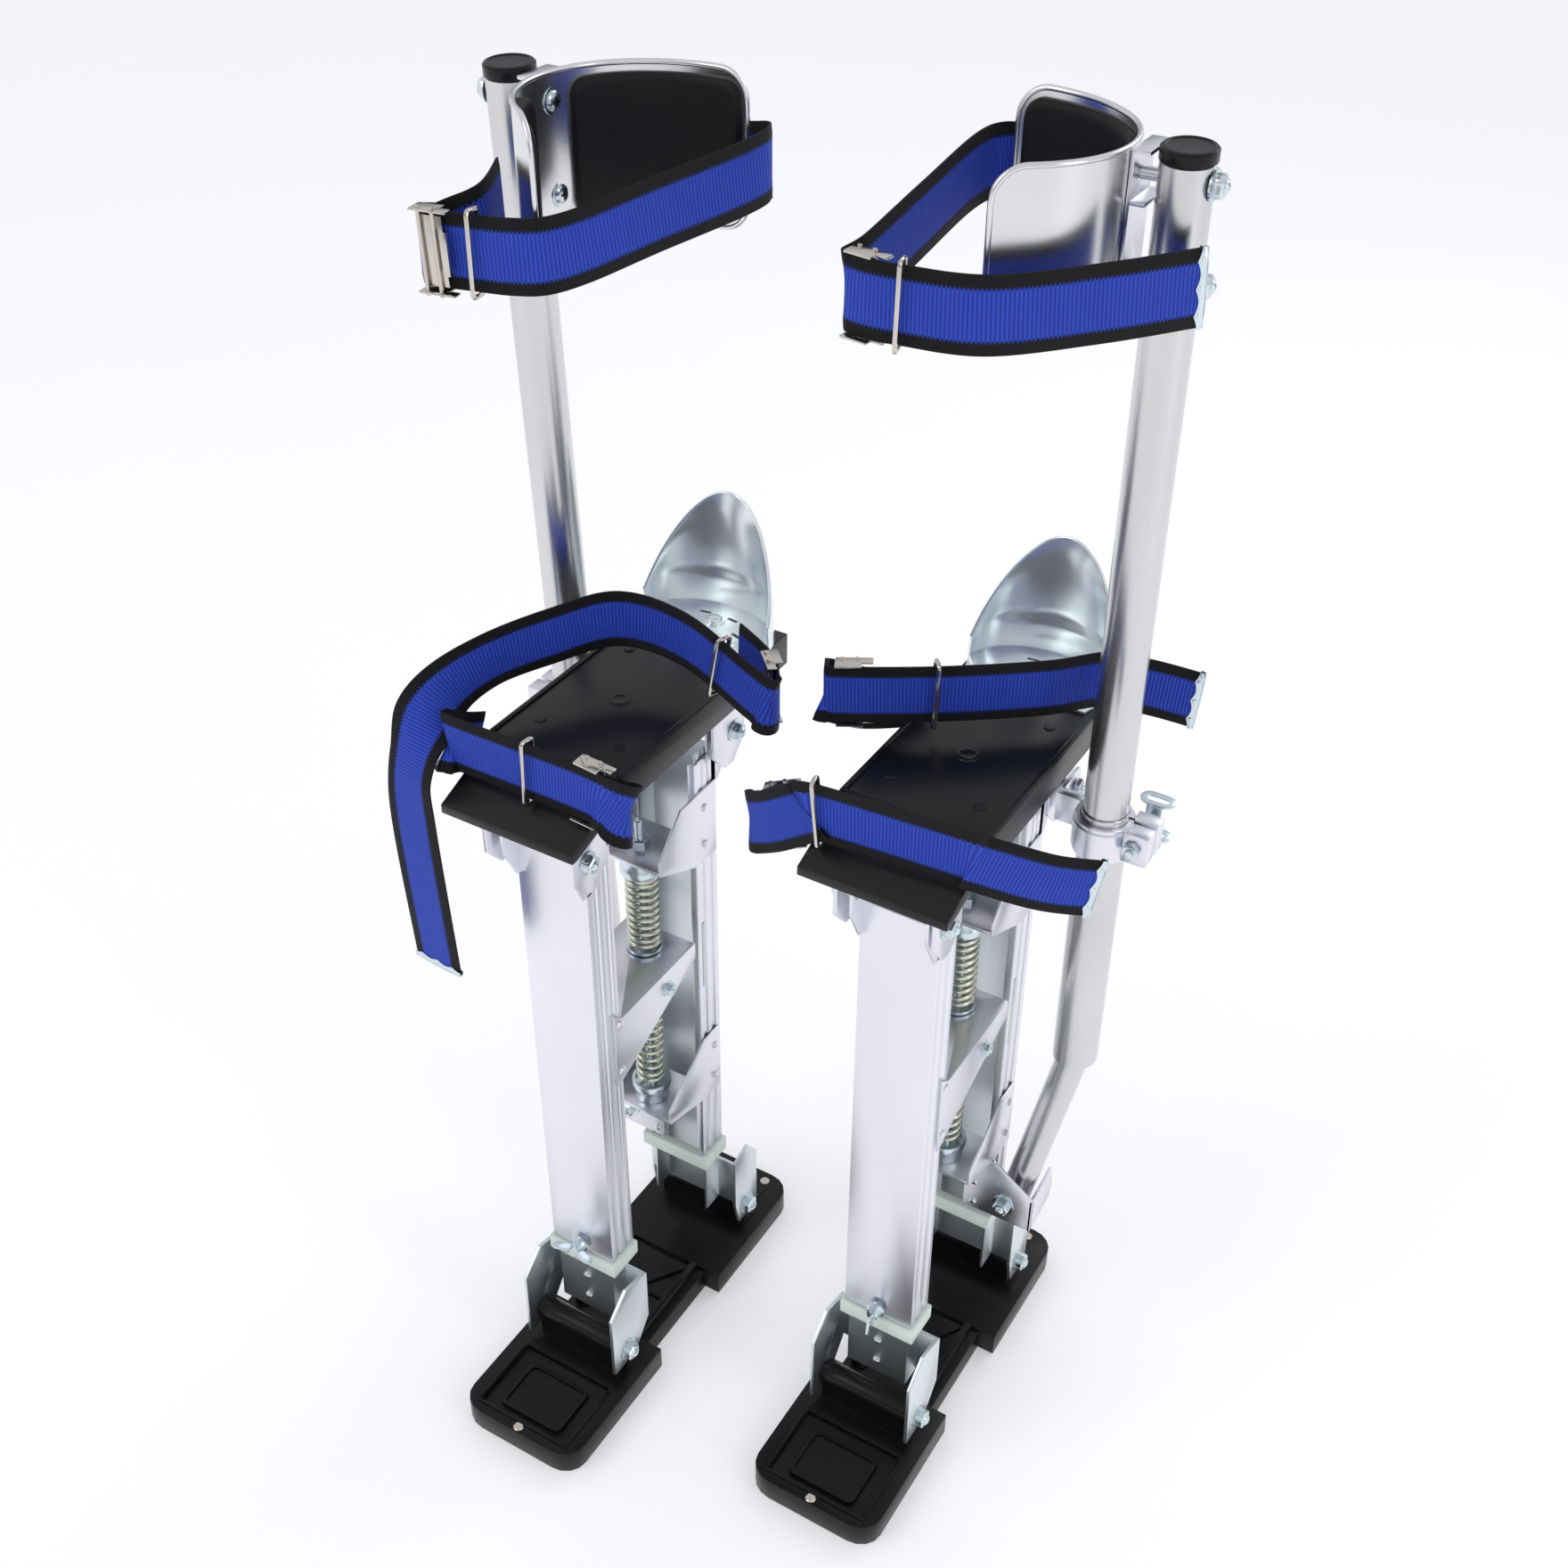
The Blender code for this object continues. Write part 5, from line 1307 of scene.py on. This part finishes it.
def strap_pieces(label):
    deck = [label + "_foot_deck"]
    plans = (
        ("calf", CALF_STRAP_H, "calf_tube", [label + "_cuff_shell"]),
        ("toe", ANKLE_STRAP_H, "deck_group", deck),
        ("heel", ANKLE_STRAP_H, "deck_group", deck))
    hoops = {
        ("calf", "right"): (0.04, -0.113, 0.834), ("calf", "left"): (-0.03, -0.123, 0.835),
        ("toe", "right"): (-0.005, -0.169, 0.5535), ("toe", "left"): (-0.048, -0.175, 0.5515),
        ("heel", "right"): (-0.075, -0.02, 0.581), ("heel", "left"): (-0.03, -0.034, 0.576)}
    levers = {
        ("calf", "right"): [((0.066, -0.117, 0.833), -1)], ("calf", "left"): [((-0.054, -0.124, 0.835), -1)],
        ("toe", "right"): [((-0.056, -0.168, 0.551), 1)], ("toe", "left"): [((-0.085, -0.148, 0.52), -1)],
        ("heel", "right"): [((-0.105, 0.006, 0.566), -1)], ("heel", "left"): [((-0.082, -0.066, 0.574), -1)]}
    tips = {
        ("calf", "right"): (), ("calf", "left"): (1,),
        ("toe", "right"): (), ("toe", "left"): (-1,),
        ("heel", "right"): (1,), ("heel", "left"): (1,)}
    for kind, half, body, rests in plans:
        band = Band(label, kind, half)
        cloth = Shape(label)
        verts, faces, uvs = band.mesh()
        cloth.body(verts, faces, uvs=uvs)
        strap = cloth.done(kind + "_strap", "blue_webbing", body, kind + "_strap", 60)
        metal_bits = Shape(label)
        key = (kind, label)
        hoop(metal_bits, band, band.nearest(hoops[key]), 0.12)
        for point, face in levers[key]:
            lever(metal_bits, band, band.nearest(point), face)
        fittings = [metal_bits.done(kind + "_buckle", "nickel", body)]
        if tips[key]:
            ends = Shape(label)
            for end in tips[key]:
                tip(ends, band, end)
            fittings.append(ends.done(kind + "_strap_tip", "zinc_plated_steel", body))
        2 * band.half
    fasteners(label, "strap_screws", "deck_group", "pan_screw", [((0.05 if label == "right" else -0.048,
        -0.14, 0.5395), (0, -0.35, 1))])


# ---- studio
def world_light(surround):
    """Bright and dim bars all round, an even top, and plain white for the camera."""
    world = bpy.data.worlds.new("studio")
    bpy.context.scene.world = world
    world.use_nodes = True
    world.node_tree.nodes.clear()
    graph = Graph(world.node_tree)
    way = graph.node("ShaderNodeSeparateXYZ", Vector=graph.node("ShaderNodeTexCoord", out="Generated"))
    turn = way.maths("ARCTAN2", way.sister("Y"), way)
    level = ((turn * 2.0 + 1.3).sine() * 0.5 + (turn * 5.0).sine()) * 0.33 + 0.5
    bars = graph.node("ShaderNodeValToRGB", Fac=level)
    ramp = bars.socket.node.color_ramp
    stops = ((0.0, (0.1, 0.12, 0.17)), (0.25, (0.42, 0.45, 0.52)), (0.52, (0.86, 0.87, 0.92)),
        (0.8, (1.15, 1.13, 1.1)))
    while len(ramp.elements) < len(stops):
        ramp.elements.new(0.5)
    for element, (spot, colour) in zip(ramp.elements, stops):
        element.position = spot
        element.color = (*colour, 1.0)
    lift = graph.node("ShaderNodeMath", {"operation": "MULTIPLY_ADD", "use_clamp": True},
        **{"0": way.sister("Z"), "1": 1.7, "2": 0.1})
    sky = graph.mix(lift, bars, (1.02, 1.03, 1.08))
    dimmed = graph.node("ShaderNodeVectorMath", {"operation": "SCALE"}, **{"0": sky, "Scale": surround})
    seen = graph.mix(graph.node("ShaderNodeLightPath", out="Is Camera Ray"), dimmed, (1, 1, 1))
    back = graph.node("ShaderNodeBackground", Color=seen, Strength=1.0)
    world.node_tree.links.new(back.socket, world.node_tree.nodes.new("ShaderNodeOutputWorld").inputs[0])


def add_softbox(name, place, aim, size, power, colour=(1, 1, 1)):
    lamp = bpy.data.lights.new(name, "AREA")
    lamp.shape = "RECTANGLE"
    lamp.size, lamp.size_y = size
    lamp.energy = power
    lamp.color = colour
    item = bpy.data.objects.new(name, lamp)
    item.location = place
    item.rotation_euler = (Vector(aim) - Vector(place)).to_track_quat("-Z", "Y").to_euler()
    put(item)


def add_camera(studio):
    lens = bpy.data.cameras.new("camera")
    lens.lens, lens.sensor_width = studio.lens, 36.0
    lens.clip_start, lens.clip_end = 0.05, 100.0
    item = bpy.data.objects.new("camera", lens)
    a, e = studio.azimuth, studio.elevation
    back = Vector((math.sin(a) * math.cos(e), -math.cos(a) * math.cos(e), math.sin(e)))
    right = Vector((math.cos(a), math.sin(a), 0))
    up = back.cross(right)
    c, q = math.cos(studio.roll), math.sin(studio.roll)
    across, above = right * c + up * q, up * c - right * q
    turn = Matrix((across, above, back)).transposed().to_4x4()
    item.matrix_world = Matrix.Translation(Vector(studio.place)) @ turn
    put(item)
    bpy.context.scene.camera = item


def add_floor(studio):
    bench = Bench("studio_floor")
    mottle = bench.noise(bench.place(), 3.0, 2.0)
    tone = studio.floor_tone
    bench.set(Base_Color=bench.mix(mottle, (tone, tone, tone), (tone * 0.985, tone * 0.985, tone * 0.99)),
        Roughness=mottle * 0.1 + 0.75)
    bench.shader.inputs["Emission Color"].default_value = (1, 1, 1, 1)
    bench.shader.inputs["Emission Strength"].default_value = 0.24
    store = bpy.data.meshes.new("floor")
    store.from_pydata([(-9, -9, -0.0004), (9, -9, -0.0004), (9, 9, -0.0004), (-9, 9, -0.0004)], [],
        [(0, 1, 2, 3)])
    store.materials.append(bench.finish)
    floor = bpy.data.objects.new("floor", store)
    put(floor)


# ---- operators
def make_studio(scene):
    studio = scene.stilt_studio
    add_camera(studio)
    add_floor(studio)
    world_light(studio.surround)
    power = studio.key_power
    add_softbox("key", (-1.6, -2.2, 2.6), (0, 0, 0.5), (1.8, 1.8), power)
    add_softbox("side", (2.6, -0.4, 1.5), (0, 0, 0.5), (0.7, 2.2), power * 0.5)
    add_softbox("rim", (0.8, 2.4, 2.2), (0, 0, 0.6), (1.6, 1.0), power * 0.6, (0.93, 0.96, 1.0))
    scene.view_settings.view_transform = "Standard"


def on_both(pieces_for):
    """The same pieces for each stilt."""
    def work(scene):
        for label in STANDS:
            pieces_for(label)
    return work


def building_step(name, title, doc, work):
    """An operator that makes one group of things."""
    def execute(self, context):
        work(context.scene)
        return {"FINISHED"}

    parts = {"__doc__": doc, "bl_idname": "stilts.make_" + name, "bl_label": title, "execute": execute}
    return type("STILTS_OT_make_" + name, (bpy.types.Operator,), parts)


STEPS = tuple(building_step(*row) for row in (
    ("studio", "Studio", "Camera, floor, softboxes and surrounding light", make_studio),
    ("finishes", "Finishes", "Metals, plastics, rubber and webbing", make_finishes),
    ("soles", "Soles", "Moulded soles with their ribs and screws", on_both(sole_pieces)),
    ("struts", "Struts", "Struts, their steel feet and their nylon collars", on_both(strut_pieces)),
    ("wing_bolts", "Wing bolts", "Wing bolts on the front struts and the tube clamps", on_both(wing_pieces)),
    ("spring_packs", "Spring packs", "Centre plates, spring carriers, seats and springs",
        on_both(spring_pieces)),
    ("leg_tubes", "Leg tubes", "Leg tubes, clamps, brackets and caps", on_both(leg_pieces)),
    ("cuffs", "Cuffs", "Calf cuffs with their pads and screws", on_both(cuff_pieces)),
    ("decks", "Decks", "Foot decks, their brackets and the heel cups", on_both(deck_pieces)),
    ("straps", "Straps", "Webbing straps with buckles and tips", on_both(strap_pieces))))


class StiltsPanel(bpy.types.Panel):
    """Sizes, colours and building steps of the stilts"""
    bl_idname = "VIEW3D_PT_stilts"
    bl_label = "Drywall stilts"
    bl_space_type = "VIEW_3D"
    bl_region_type = "UI"
    bl_category = "Stilts"

    def draw(self, context):
        for name, kind in GROUPS.items():
            column = self.layout.column(align=True)
            for entry in kind.__annotations__:
                column.prop(getattr(context.scene, name), entry)
        for step in STEPS:
            self.layout.operator(step.bl_idname)


GROUPS = {"stilt_sizes": StiltSizes, "stilt_colours": StiltColours, "stilt_studio": StudioSetup}
CLASSES = (*GROUPS.values(), *STEPS, StiltsPanel)


def register():
    for item in CLASSES:
        bpy.utils.register_class(item)
    for name, group in GROUPS.items():
        setattr(bpy.types.Scene, name, bpy.props.PointerProperty(type=group))


def unregister():
    for name in GROUPS:
        delattr(bpy.types.Scene, name)
    for item in reversed(CLASSES):
        bpy.utils.unregister_class(item)


def main():
    register()
    for step in STEPS:
        group, name = step.bl_idname.split(".")
        getattr(getattr(bpy.ops, group), name)()


if __name__ == "__main__":
    main()
